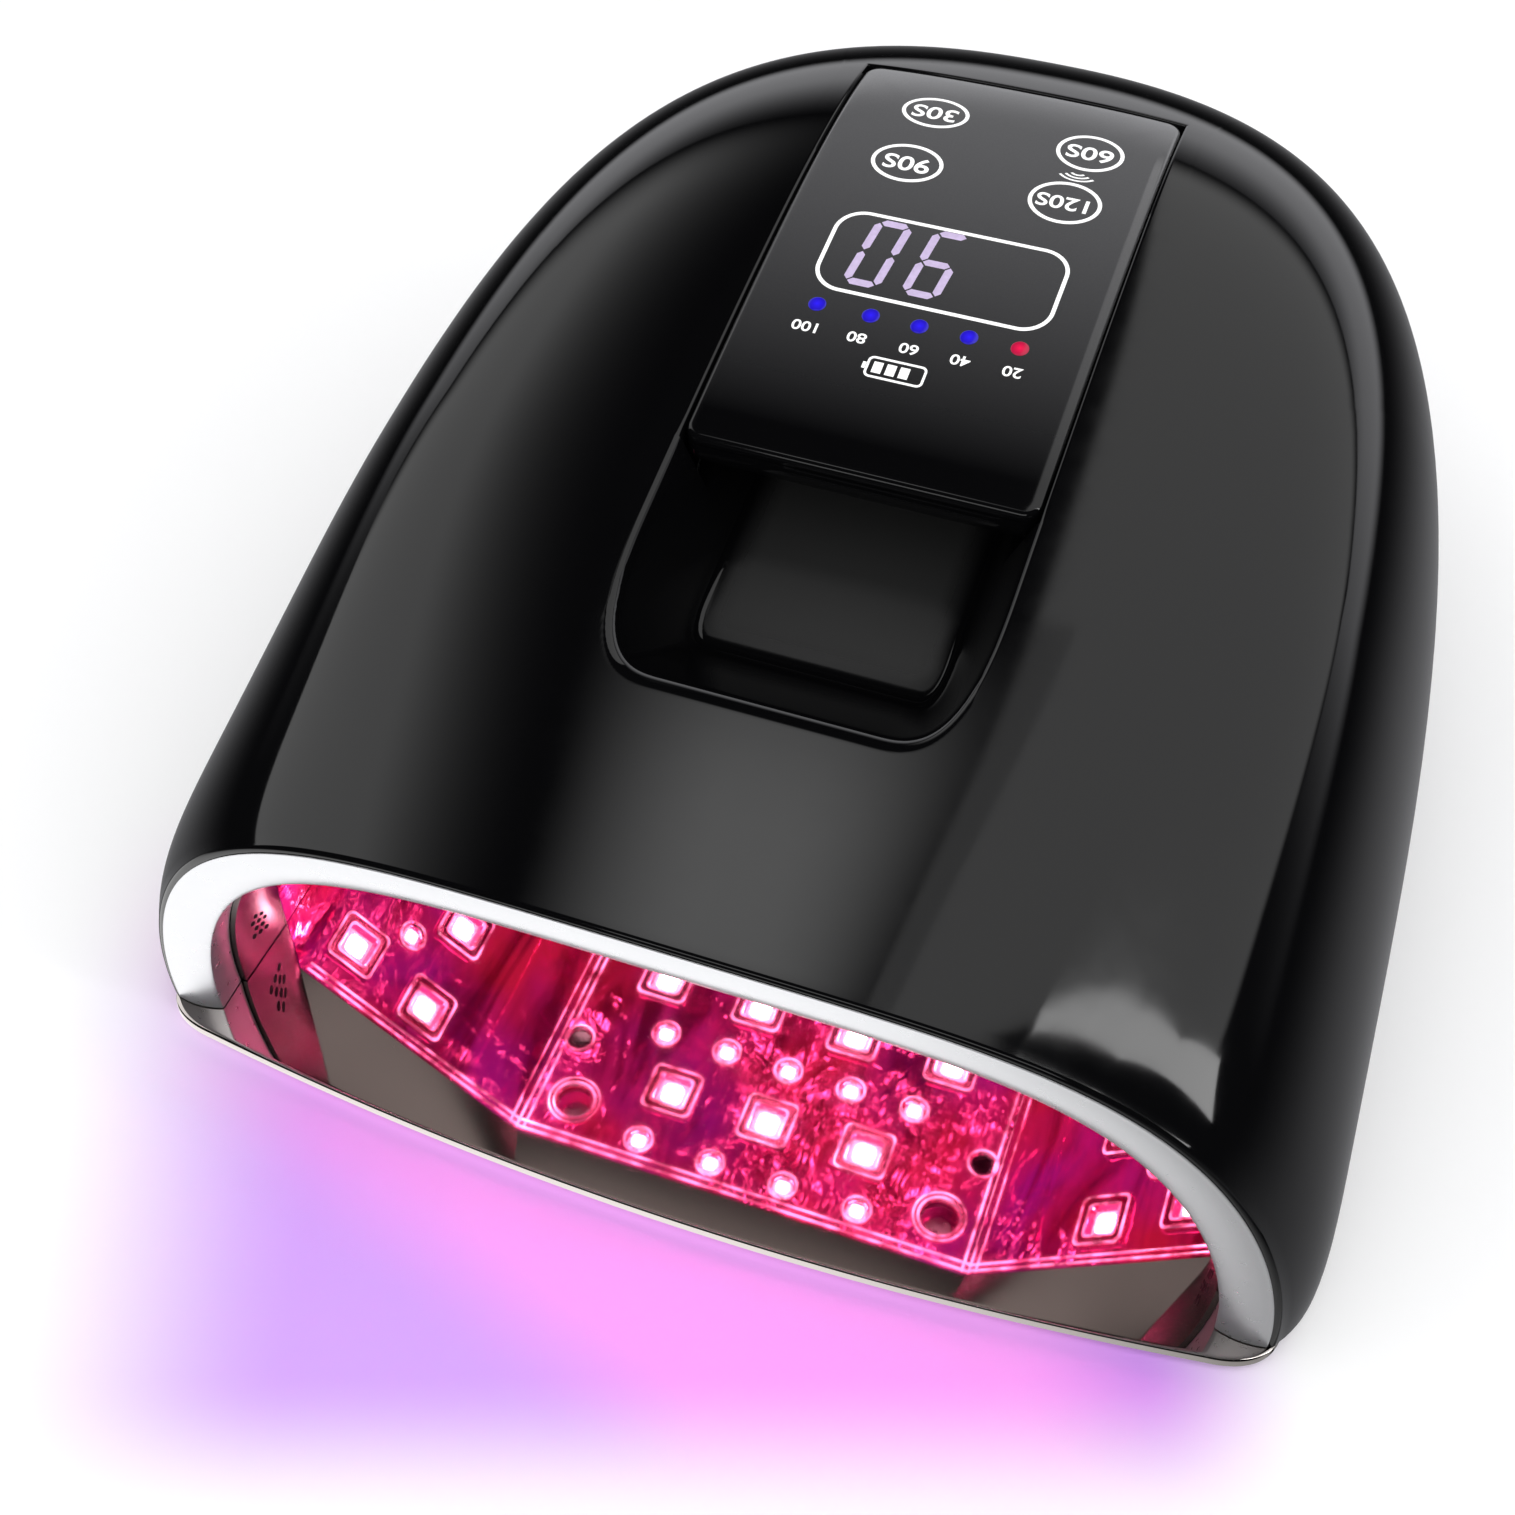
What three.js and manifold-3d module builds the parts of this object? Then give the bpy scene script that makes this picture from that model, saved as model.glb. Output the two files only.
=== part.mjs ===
// UV LED nail lamp: a cordless salon lamp that cures gel polish on a hand laid on its base plate.
// Millimetres, +Z up. The hand opening faces -Y and the origin is on the floor under the middle.
import * as THREE from 'three';
import { mergeVertices } from 'three/addons/utils/BufferGeometryUtils.js';
import Module from 'manifold-3d';

const wasm = await Module();
wasm.setup();

// ---- Driving dimensions ----
const GAP = 0.3; // clearance left between neighbouring pieces
const PAD_HEIGHT = 1.2; // rubber feet under the base plate
const PLATE_THICKNESS = 2;
const SEAT = PAD_HEIGHT + PLATE_THICKNESS + GAP; // foot of the housing, just above the plate

// Top shell: a dome whose cross-section and rear outline are superellipses
const WALL = 2.5;
const FRONT = -113.4; // mouth plane at the foot
const REAR = 131.2;
const ARC_START = -70; // the rear outline starts to curve in here
const HALF_FRONT = 102.8;
const HALF_WIDTH = 108.2;
const PLAN_POWERS = [2.43, 3.46];
const RIDGE = [[FRONT, 70.8], [-28, 89.9], [40, 101.6], [100, 102.6]]; // [y, height above the seat]
const FRONT_POWERS = [4.7, 1.76];
const SIDE_POWERS = [8, 1.35];
const REAR_POWERS = [9.9, 1.82];
const LEAN = 0.08; // the mouth plane leans forward by this much per millimetre of height
const SIDE_SHARE = 0.42; // share of the outline's parameter that the curved rear takes
const INNER_COLUMNS = 36; // steps round the shell's inner face and whatever lies against it

// Silver arch round the mouth
const TRIM_DEPTH = 6;
const TRIM_HALF_WIDTH = 92.6;
const TRIM_HEIGHT = 62.6;

// Liner of the hand cavity
const CEILING = 55;
const LINER = 1.5; // liner wall
const LIP_Y = -92.3; // front edge of the flat ceiling
const RIDGE_X = 48; // the side facets start here
const FACET_SLOPE = THREE.MathUtils.degToRad(40.5);
const CAVITY_HALF = 91;
const CAVITY_REAR = 92;
const CAVITY_ARC = -20;

// Handle: scoop, deck and panel
const RIM = { halfWidth: 32.4, front: -77.4, rear: -5, radius: 8 };
const FLOOR = { halfWidth: 21.5, front: -51.5, rear: -8, radius: 6 };
const SCOOP_DEPTH = 21;
const CUP_WALL = 2;
const DECK = { halfWidth: 31.3, front: -31, rear: 72, depth: 11.5, wall: 1.6 };
const LENS = 1.6;

// LED grid, as [x positions, y] rows on the flat ceiling
const LED_BIG_ROWS = [[[-21, 0, 21], -73.5], [[-32.2, -10.7, 10.7, 32.2], -47.5],
  [[-21, 0, 21], -21.5], [[-32.2, -10.7, 10.7, 32.2], 4.5], [[-21, 0, 21], 30.5]];
const LED_SMALL_ROWS = [[[-23.5, -7.8, 7.8, 23.5], -86.3], [[-27.6, -13.8, 0, 13.8, 27.6], -60.4],
  [[-23.5, -7.8, 7.8, 23.5], -34.4], [[-27.6, -13.8, 0, 13.8, 27.6], -8.4]];
// Positions on a side facet, as [down the slope, y]
const FACET_BIG = [[30, -83], [49, -81], [31, -62.5], [49, -58], [30, -40], [48, -34], [30, -16]];
const FACET_SMALL = [[40, -71.5], [40, -49], [39, -26]];
const FACET_RIBS = [1.6, 14]; // down the slope
const LED_BIG = 5.4;
const LED_SMALL = 3;
const FRAME_SIZE = 10.6; // raised square frame round a big LED
const WELL_X = 39.5;
const WELLS = [[-WELL_X, -82.2], [WELL_X, -82.2], [-WELL_X, 54], [WELL_X, 54]];
const SENSOR = [44.4, -67.7];

const ROUND = 14; // sides of a small round piece

// ---- Finishes ----
const finish = (color, roughness, metalness) =>
  new THREE.MeshStandardMaterial({ color, roughness, metalness });
const GLOSS_BLACK = finish('#0b0b0d', 0.12, 0);
const MATT_BLACK = finish('#17171a', 0.6, 0);
const DARK_LENS = finish('#26282b', 0.15, 0);
const SILVER = finish('#c9cbce', 0.25, 0.9);
const REFLECTOR = finish('#d8c9d2', 0.12, 0.9);
const STEEL = finish('#c4c6c8', 0.15, 1);
const BOARD = finish('#e8e8e4', 0.5, 0);
const GREEN_BOARD = finish('#1f5a3a', 0.5, 0);
const RUBBER = finish('#1b1b1b', 0.85, 0);
const CELL = finish('#2f6fb0', 0.4, 0);
const CLEAR = finish('#dfe6ff', 0.2, 0);

// ---- Solid modelling helpers ----
const clamp01 = (u) => Math.min(1, Math.max(0, u));
const mix = (a, b, u) => a + (b - a) * u;
const smooth = (u) => clamp01(u) ** 2 * (3 - 2 * clamp01(u));
const steps = (count) => Array.from({ length: count + 1 }, (_, i) => i / count);

// A closed three.js geometry as a manifold solid, turned inside out if its faces point inwards.
function solid(geometry) {
  const bare = geometry.index ? geometry.toNonIndexed() : geometry.clone();
  bare.deleteAttribute('normal');
  bare.deleteAttribute('uv');
  const merged = mergeVertices(bare, 1e-3);
  const triVerts = new Uint32Array(merged.index.array);
  const mesh = { numProp: 3, vertProperties: new Float32Array(merged.attributes.position.array), triVerts };
  const made = new wasm.Manifold(new wasm.Mesh(mesh));
  if (made.volume() > 0) return made;
  mesh.triVerts = triVerts.slice().reverse();
  return new wasm.Manifold(new wasm.Mesh(mesh));
}

// Skin over a row of closed loops with the same number of points, with a fan over each end.
function loft(loops, { capEnd = true } = {}) {
  const count = loops[0].length;
  const points = loops.flat();
  const faces = [];
  for (let i = 0; i + 1 < loops.length; i++) {
    for (let j = 0; j < count; j++) {
      const a = i * count + j;
      const b = i * count + ((j + 1) % count);
      faces.push(a, b, b + count, a, b + count, a + count);
    }
  }
  const capFan = (first, flip) => {
    const loop = points.slice(first, first + count);
    const middle = points.push(loop.reduce((sum, p) => sum.add(p), new THREE.Vector3())
      .divideScalar(count)) - 1;
    for (let j = 0; j < count; j++) {
      const pair = [first + j, first + ((j + 1) % count)];
      faces.push(middle, ...(flip ? pair.reverse() : pair));
    }
  };
  capFan(0, true);
  if (capEnd) capFan((loops.length - 1) * count, false);
  const geometry = new THREE.BufferGeometry().setFromPoints(points);
  geometry.setIndex(faces);
  return solid(geometry);
}

const at = (geometry, x, y, z) => geometry.translate(x, y, z);
const box = (x, y, z, sx, sy, sz) => solid(at(new THREE.BoxGeometry(sx, sy, sz), x, y, z));
const post = (x, y, low, high, radius, sides = ROUND) => solid(at(
  new THREE.CylinderGeometry(radius, radius, high - low, sides).rotateX(Math.PI / 2),
  x, y, (low + high) / 2));

// The shapes are laid out from the mouth; this puts the origin under the middle of the whole lamp.
const CENTRE_Y = 2.5;
const lamp = new THREE.Group();
lamp.name = 'uv_led_nail_lamp';
lamp.position.y = -CENTRE_Y;

function add(name, made, material, parent = lamp) {
  let geometry = made;
  if (!made.isBufferGeometry) {
    const { vertProperties, triVerts, numProp } = made.simplify(0.02).getMesh();
    const soup = new THREE.BufferGeometry();
    soup.setAttribute('position', new THREE.BufferAttribute(vertProperties.slice(), numProp));
    soup.setIndex(new THREE.BufferAttribute(triVerts.slice(), 1));
    geometry = soup.toNonIndexed();
    geometry.computeVertexNormals();
  }
  const mesh = new THREE.Mesh(geometry, material);
  mesh.name = name;
  parent.add(mesh);
  return mesh;
}

// ---- Dome of the top shell ----
// Height of the roof's centre line above the seat: the cubic through the four RIDGE stations.
function ridge(y) {
  return RIDGE.reduce((sum, [yi, zi]) => sum + RIDGE.filter(([yj]) => yj !== yi)
    .reduce((w, [yj]) => w * (y - yj) / (yi - yj), zi), 0);
}

// Outline of the dome on the seat: t runs from -1, left of the mouth, round the rear to 1.
function outline(t, inset, reach = 0) {
  const q = Math.abs(t);
  if (q > SIDE_SHARE) {
    const y = mix(ARC_START, FRONT - reach, (q - SIDE_SHARE) / (1 - SIDE_SHARE));
    const taper = ((ARC_START - y) / (ARC_START - FRONT)) ** 6;
    return [Math.sign(t) * (HALF_WIDTH - inset - (HALF_WIDTH - HALF_FRONT) * taper), y];
  }
  const angle = (Math.PI / 2) * (1 - q / SIDE_SHARE);
  const x = (HALF_WIDTH - inset) * Math.cos(angle) ** (2 / PLAN_POWERS[0]);
  const y = ARC_START + (REAR - inset - ARC_START) * Math.sin(angle) ** (2 / PLAN_POWERS[1]);
  return [Math.sign(t) * x, y];
}

// Powers of the cross-section that starts from the outline at station y.
function powers(y, rearEnd) {
  const rise = smooth((y - FRONT) / (ARC_START + 40 - FRONT));
  const rear = clamp01((y - ARC_START) / (rearEnd - ARC_START)) ** 4;
  return [0, 1].map((k) => mix(mix(FRONT_POWERS[k], SIDE_POWERS[k], rise), REAR_POWERS[k], rear));
}

// A point of the dome: t along the outline, v from the foot (0) over to the roof's centre line (1).
function domePoint(t, v, inset, reach) {
  const [x, y] = outline(t, inset, reach);
  const [n, m] = powers(y, REAR - inset);
  const bend = (Math.PI / 2) * (1 - (1 - v) ** (n / 2));
  const across = v < 1 ? Math.cos(bend) ** (2 / n) : 0;
  const spine = Math.min(y, ARC_START);
  const py = mix(spine, y, across);
  const pz = (ridge(py) - inset) * Math.sin(bend) ** (2 / m);
  const lean = LEAN * pz * clamp01((ARC_START - py) / (ARC_START - FRONT));
  return new THREE.Vector3(x * across, py - lean, SEAT + pz);
}

// The whole space under the dome, drawn in by inset; reach runs it out past the mouth and foot.
function dome(inset, reach, columns, rows) {
  const loop = (v) => steps(columns).map((u) => domePoint(2 * u - 1, v, inset, reach));
  const loops = steps(rows).map(loop);
  if (reach > 0) loops.unshift(loop(0).map((p) => p.clone().setZ(SEAT - reach)));
  return loft(loops, { capEnd: false });
}

// Height of the dome's outer face over (x, y), for the pieces let into the roof.
function roof(x, y) {
  const ahead = y <= ARC_START;
  const inside = (s) => ahead ? Math.abs(x) / (HALF_WIDTH * s)
    : (Math.abs(x) / (HALF_WIDTH * s)) ** PLAN_POWERS[0]
      + ((y - ARC_START) / ((REAR - ARC_START) * s)) ** PLAN_POWERS[1];
  let [low, high] = [1e-6, 1];
  for (let i = 0; i < 40; i++) {
    const middle = (low + high) / 2;
    if (inside(middle) > 1) low = middle;
    else high = middle;
  }
  const edgeY = ahead ? y : ARC_START + (y - ARC_START) / high;
  const [n, m] = powers(edgeY, REAR);
  return SEAT + ridge(y) * (1 - high ** n) ** (1 / m);
}

// ---- Handle scoop ----

// Rounded rectangle on the slope of the roof, dropped by depth: four corners of four points each.
function roofLoop({ halfWidth, front, rear, radius }, depth) {
  const corners = [[halfWidth, rear, 0], [-halfWidth, rear, 1], [-halfWidth, front, 2], [halfWidth, front, 3]];
  return corners.flatMap(([cx, cy, quarter]) => steps(3).map((u) => {
    const angle = (quarter + u) * Math.PI / 2;
    const x = cx - Math.sign(cx) * radius + radius * Math.cos(angle);
    const y = cy + (cy === rear ? -radius : radius) + radius * Math.sin(angle);
    return new THREE.Vector3(x, y, roof(0, y) - depth);
  }));
}

// Space that the fingers reach into: S-shaped walls from the rim down to the floor.
function scoop(offset) {
  const grown = (r, radius) => ({ halfWidth: r.halfWidth + offset, front: r.front - offset,
    rear: r.rear + offset, radius: radius + offset });
  const blend = (u) => Object.fromEntries(Object.keys(RIM).map((k) => [k, mix(RIM[k], FLOOR[k], u)]));
  const sections = [0, 0.25, 0.5, 0.75, 1].map((u) => {
    const place = blend(u);
    return roofLoop(grown(place, place.radius), (SCOOP_DEPTH + offset) * smooth(u));
  });
  return loft([roofLoop(grown(RIM, RIM.radius), -8), ...sections]);
}

// Slab that follows the roof from front to rear, between two depths below it.
function roofSlab({ halfWidth, front, rear }, shallow, deep, count = 12) {
  const across = [-1, -0.5, 0, 0.5, 1].map((u) => u * halfWidth);
  return loft(steps(count).map((u) => {
    const y = mix(front, rear, u);
    const row = (depth) => across.map((x) => new THREE.Vector3(x, y, roof(x, y) - depth));
    return [...row(deep), ...row(shallow).reverse()];
  }));
}

const grow = (place, by) => ({ halfWidth: place.halfWidth + by, front: place.front - by, rear: place.rear + by });

// ---- Rear connectors ----
const SWITCH = { x: 17, z: 24, width: 19, height: 13, depth: 12 };
// The rocker's profile about its pivot: a shallow valley between two raised ends, tilted at rest.
const ROCKER = { width: 15, sunk: 1.9, tilt: THREE.MathUtils.degToRad(8.25),
  profile: [[-4.9, 2.4], [0, 1.7], [4.9, 2.4], [4.5, -1.5], [0, -2.9], [-4.5, -1.5]] };
const INLET = { x: -17, z: 24, size: 11, depth: 14 };
const REAR_SEAT = 126.9; // flat floor of the recess that both connectors sit in
const REAR_FACE = REAR_SEAT + GAP + 1; // outer face of both bezels
const RECESS = { width: 62, height: 22, z: 24 };

// ---- Frame round the foot ----
const FRAME_TOP = SEAT + 4;
const FRAME_CLEARANCE = 1; // the shell's wall draws in as it rises
const FRAME_END = 0.91; // the frame's ends stop behind the trim
const MAGNET = { radius: 5, height: 2.6, edge: 0.42, stations: [-0.8, -0.2, 0.2, 0.8] };
const CHASSIS_SCREW = { edge: 0.66, stations: [-0.66, -0.3, 0.3, 0.66] };

// t along the outline; edge 0 on the frame's inner edge, 1 on its outer edge inside the shell.
function framePoint(t, edge) {
  const [ox, oy] = outline(t, WALL + FRAME_CLEARANCE);
  const [ix, iy] = outline(t, 14.6);
  const inner = [Math.sign(t) * Math.max(Math.abs(ix), Math.min(Math.abs(ox) - 6, 93.4)), iy];
  return [mix(inner[0], ox, edge), mix(inner[1], oy, edge)];
}

function bottomFrame() {
  const section = (t) => [[0, SEAT], [1, SEAT], [1, FRAME_TOP], [0, FRAME_TOP]].map(([edge, z]) => {
    const [x, y] = framePoint(t, edge);
    return new THREE.Vector3(x, y, z);
  });
  let made = loft(steps(INNER_COLUMNS).map((u) => section(Math.min(FRAME_END, Math.max(-FRAME_END, 2 * u - 1)))));
  for (const t of MAGNET.stations) {
    const [x, y] = framePoint(t, MAGNET.edge);
    made = made.subtract(post(x, y, SEAT - 1, SEAT + MAGNET.height + 0.5, MAGNET.radius + GAP));
  }
  for (const t of CHASSIS_SCREW.stations) {
    const [x, y] = framePoint(t, CHASSIS_SCREW.edge);
    made = made.subtract(post(x, y, SEAT - 1, SEAT + 2.2, 3.1)).subtract(post(x, y, SEAT, FRAME_TOP + 1, 1.8));
  }
  return made;
}

function topShell() {
  const outer = dome(0, 0, 44, 14);
  let made = outer.subtract(dome(WALL, 8, INNER_COLUMNS, 11));
  let bosses = null;
  let drill = null;
  const boss = (x, y, low, high) => {
    const body = post(x, y, low, high, 5.4, 10).intersect(outer);
    const hole = post(x, y, low - 1, low + 8, 1.6, 8);
    bosses = bosses ? bosses.add(body) : body;
    drill = drill ? drill.add(hole) : hole;
  };
  for (const [x, y] of WELLS) boss(x, y, CEILING + 10, 110);
  for (const t of CHASSIS_SCREW.stations) {
    const [x, y] = framePoint(t, CHASSIS_SCREW.edge);
    boss(x, y, FRAME_TOP + GAP, FRAME_TOP + 14);
  }
  made = made.add(bosses).subtract(scoop(CUP_WALL + GAP)).subtract(drill);
  made = made.subtract(roofSlab(grow(DECK, GAP), -8, DECK.depth + GAP));
  const pad = box(0, REAR_SEAT - 1.5, RECESS.z, RECESS.width + 6, 5, RECESS.height + 6).intersect(outer);
  made = made.add(pad).subtract(box(0, REAR_SEAT + 5, RECESS.z, RECESS.width, 10, RECESS.height));
  made = made.subtract(box(SWITCH.x, REAR_SEAT, SWITCH.z, SWITCH.width + 1, 30, SWITCH.height + 1));
  return made.subtract(box(INLET.x, REAR_SEAT, INLET.z, INLET.size + 1, 30, INLET.size + 1));
}

// Cup that lines the scoop, up to the roof ahead of the deck and up to the deck's underside behind.
function handleCup() {
  const cup = scoop(CUP_WALL).intersect(dome(0, 0, 44, 14)).subtract(scoop(0));
  return cup.subtract(roofSlab(grow(DECK, GAP), -8, DECK.depth + GAP));
}

// ---- Arch pieces round the mouth ----
// A point of an arch: u from -1, the left foot, over the top to 1; set back from the mouth plane.
function archPoint(u, halfWidth, height, back, [n, m] = FRONT_POWERS) {
  const bend = (Math.PI / 2) * (1 - Math.abs(u) ** (n / 2));
  const across = Math.abs(u) > 0 ? Math.cos(bend) ** (2 / n) : 0;
  const z = height * Math.sin(bend) ** (2 / m);
  return new THREE.Vector3(Math.sign(u) * halfWidth * across, FRONT - LEAN * z + back, SEAT + z);
}

function frontTrim() {
  const outer = [HALF_FRONT - WALL - GAP, RIDGE[0][1] - WALL - GAP];
  const inner = [TRIM_HALF_WIDTH, TRIM_HEIGHT];
  const middle = [0, 1].map((k) => (outer[k] + inner[k]) / 2);
  const profile = [[inner, 1.6], [middle, 0.2], [outer, 0.8], [outer, TRIM_DEPTH], [inner, TRIM_DEPTH]];
  return loft(steps(32).map((s) => profile.map(([[w, h], back]) => archPoint(2 * s - 1, w, h, back))));
}

// Section of the liner's ceiling: flat in the middle, facets down to the side walls.
function ceilingHeight(x) {
  return CEILING - Math.max(0, Math.abs(x) - RIDGE_X) * Math.tan(FACET_SLOPE);
}

// Hood from the trim back to the ceiling's lip, a sheet of the liner's thickness.
function entranceHood() {
  const lipPoint = (u, offset) => {
    const share = Math.abs(u);
    const half = CAVITY_HALF + offset;
    const side = Math.sign(u) * Math.min(half, half * Math.min(1, share / 0.72));
    const wall = ceilingHeight(half) + offset;
    const z = share < 0.72 ? ceilingHeight(side) + offset : mix(wall, SEAT, (share - 0.72) / 0.28);
    return new THREE.Vector3(side, LIP_Y - GAP, z);
  };
  return loft(steps(32).map((s) => {
    const u = 2 * s - 1;
    const front = (offset) => archPoint(u, TRIM_HALF_WIDTH - 1 + offset, TRIM_HEIGHT - 1 + offset, TRIM_DEPTH + GAP);
    return [front(0), front(LINER), lipPoint(u, LINER), lipPoint(u, 0)];
  }));
}

// ---- Liner of the hand cavity ----
// Block under the ceiling section, with a U-shaped plan, grown by offset from the cavity's faces.
function cavityBlock(offset, low) {
  const half = CAVITY_HALF + offset;
  const top = CEILING + offset;
  const shoulder = ceilingHeight(half - offset) + offset;
  const section = new THREE.Shape();
  section.moveTo(-half, low).lineTo(half, low).lineTo(half, shoulder).lineTo(RIDGE_X, top);
  section.lineTo(-RIDGE_X, top).lineTo(-half, shoulder).closePath();
  const length = 260;
  const tunnel = new THREE.ExtrudeGeometry(section, { depth: length, bevelEnabled: false });
  tunnel.rotateX(Math.PI / 2).translate(0, LIP_Y + length - (offset > 0 ? 0 : 1), 0);
  const plan = new THREE.Shape();
  plan.moveTo(-half, LIP_Y - 2);
  for (const u of steps(20)) {
    const angle = Math.PI * (1 - u);
    const x = half * Math.sign(Math.cos(angle)) * Math.abs(Math.cos(angle)) ** (2 / 3);
    plan.lineTo(x, CAVITY_ARC + (CAVITY_REAR + offset - CAVITY_ARC) * Math.sin(angle) ** (2 / 2.6));
  }
  plan.lineTo(half, LIP_Y - 2).closePath();
  const column = new THREE.ExtrudeGeometry(plan, { depth: 80, bevelEnabled: false }).translate(0, 0, low - 4);
  return solid(tunnel).intersect(solid(column));
}

// Places a piece on the left (-1) or right (1) facet: down its slope, along y, and behind its face.
function onFacet(side, down, y, geometry) {
  const angle = side * FACET_SLOPE;
  const x = side * (RIDGE_X + down * Math.cos(FACET_SLOPE));
  return solid(geometry.rotateY(angle).translate(x, y, CEILING - down * Math.sin(FACET_SLOPE)));
}

const plate = (sx, sy, low, high) => at(new THREE.BoxGeometry(sx, sy, high - low), 0, 0, (low + high) / 2);
const places = (rows) => rows.flatMap(([xs, y]) => xs.map((x) => [x, y]));
const FRAME_PROUD = 1; // the raised frames stand this far into the cavity

// Joins a raised frame round every big LED and cuts the apertures of all of them.
function aperture(made, big, small, place) {
  let result = made;
  for (const spot of big) result = result.add(place(spot, plate(FRAME_SIZE, FRAME_SIZE, -FRAME_PROUD, 0.5)));
  for (const spot of big) result = result.subtract(place(spot, plate(LED_BIG + 1, LED_BIG + 1, -3, 4)));
  for (const spot of small) result = result.subtract(place(spot, plate(LED_SMALL + 1, LED_SMALL + 1, -3, 4)));
  return result;
}

const onCeiling = ([x, y], geometry) => solid(geometry.translate(x, y, CEILING));

function reflectors() {
  const liner = cavityBlock(LINER, SEAT).subtract(cavityBlock(0, SEAT - 3));
  const slab = (low, high, front, rear) => box((low + high) / 2, (front + rear) / 2, 40, high - low, rear - front, 90);
  const rearY = 62;
  let central = liner.intersect(slab(-RIDGE_X + GAP / 2, RIDGE_X - GAP / 2, LIP_Y - 5, rearY));
  central = aperture(central, places(LED_BIG_ROWS), places(LED_SMALL_ROWS), onCeiling);
  for (const [x, y] of WELLS) central = central.add(post(x, y, CEILING + 0.2, CEILING + 9, 5.6));
  for (const [x, y] of WELLS) {
    central = central.subtract(post(x, y, CEILING - 1, CEILING + 7.5, 4.4)).subtract(post(x, y, CEILING, 70, 1.8, 8));
  }
  for (const side of [-1, 1]) central = central.subtract(post(side * SENSOR[0], SENSOR[1], 50, 60, 2.9));
  const flank = (side) => {
    const edges = [side * (RIDGE_X + GAP / 2), side * 120].sort((a, b) => a - b);
    let panel = liner.intersect(slab(...edges, LIP_Y - 5, rearY));
    for (const down of FACET_RIBS) panel = panel.add(onFacet(side, down, -30, plate(1.4, 112, -0.7, 0.5)));
    return aperture(panel, FACET_BIG, FACET_SMALL, ([down, y], geometry) => onFacet(side, down, y, geometry));
  };
  return { central, left: flank(-1), right: flank(1), rear: liner.intersect(slab(-120, 120, rearY + GAP, 140)) };
}

// ---- LED boards: aluminium-backed boards with their LED packages soldered on ----
const BOARD_LIFT = 3.2; // from the cavity's face to the board
const LED_LIFT = 0.4; // from the cavity's face to the LEDs

function withLeds(board, big, small, place) {
  let made = board;
  for (const spot of big) made = made.add(place(spot, plate(LED_BIG, LED_BIG, LED_LIFT, BOARD_LIFT + 0.5)));
  for (const spot of small) made = made.add(place(spot, plate(LED_SMALL, LED_SMALL, LED_LIFT, BOARD_LIFT + 0.5)));
  return made;
}

function ceilingBoard() {
  let board = onCeiling([0, -27], plate(78, 126, BOARD_LIFT, BOARD_LIFT + 1.6));
  for (const [x, y] of WELLS) board = board.subtract(post(x, y, CEILING, CEILING + 10, 6.2));
  return withLeds(board, places(LED_BIG_ROWS), places(LED_SMALL_ROWS), onCeiling);
}

function facetBoard(side) {
  const place = ([down, y], geometry) => onFacet(side, down, y, geometry);
  return withLeds(place([39, -48], plate(33, 80, BOARD_LIFT, BOARD_LIFT + 1.6)), FACET_BIG, FACET_SMALL, place);
}

// ---- Base plate ----
function basePlate() {
  const shape = new THREE.Shape();
  const count = 40;
  const edge = steps(count).map((u) => outline(mix(-0.97, 0.97, u), 0.8));
  const [cornerX, cornerY] = edge[count];
  shape.moveTo(edge[0][0], edge[0][1]);
  for (const [x, y] of edge.slice(1)) shape.lineTo(x, y);
  shape.quadraticCurveTo(cornerX - 1, -118.6, cornerX - 11, -119.6);
  shape.quadraticCurveTo(0, -132.8, -cornerX + 11, -119.6);
  shape.quadraticCurveTo(-cornerX + 1, -118.6, edge[0][0], edge[0][1]);
  return new THREE.ExtrudeGeometry(shape, { depth: PLATE_THICKNESS, bevelEnabled: false, curveSegments: 12 })
    .translate(0, 0, PAD_HEIGHT);
}

// ---- Assembly ----
add('base_plate', basePlate(), STEEL);
[[-84, -92], [84, -92], [-66, 84], [66, 84]].forEach(([x, y], i) =>
  add(`foot_${i + 1}`, post(x, y, 0, PAD_HEIGHT - 0.02, 6), RUBBER));

add('top_shell', topShell(), GLOSS_BLACK);
add('handle_cup', handleCup(), GLOSS_BLACK);
add('front_trim', frontTrim(), SILVER);
add('bottom_frame', bottomFrame(), MATT_BLACK);
MAGNET.stations.forEach((t, i) => {
  const [x, y] = framePoint(t, MAGNET.edge);
  add(`magnet_${i + 1}`, post(x, y, SEAT + 0.1, SEAT + 0.1 + MAGNET.height, MAGNET.radius), STEEL);
});
const panHead = (x, y, low, head, shank, length) => post(x, y, low, low + 1.7, head)
  .add(post(x, y, low + 1, low + length, shank, 10));
CHASSIS_SCREW.stations.forEach((t, i) => {
  const [x, y] = framePoint(t, CHASSIS_SCREW.edge);
  add(`chassis_screw_${i + 1}`, panHead(x, y, SEAT + 0.2, 2.7, 1.3, 11), STEEL);
});

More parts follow.
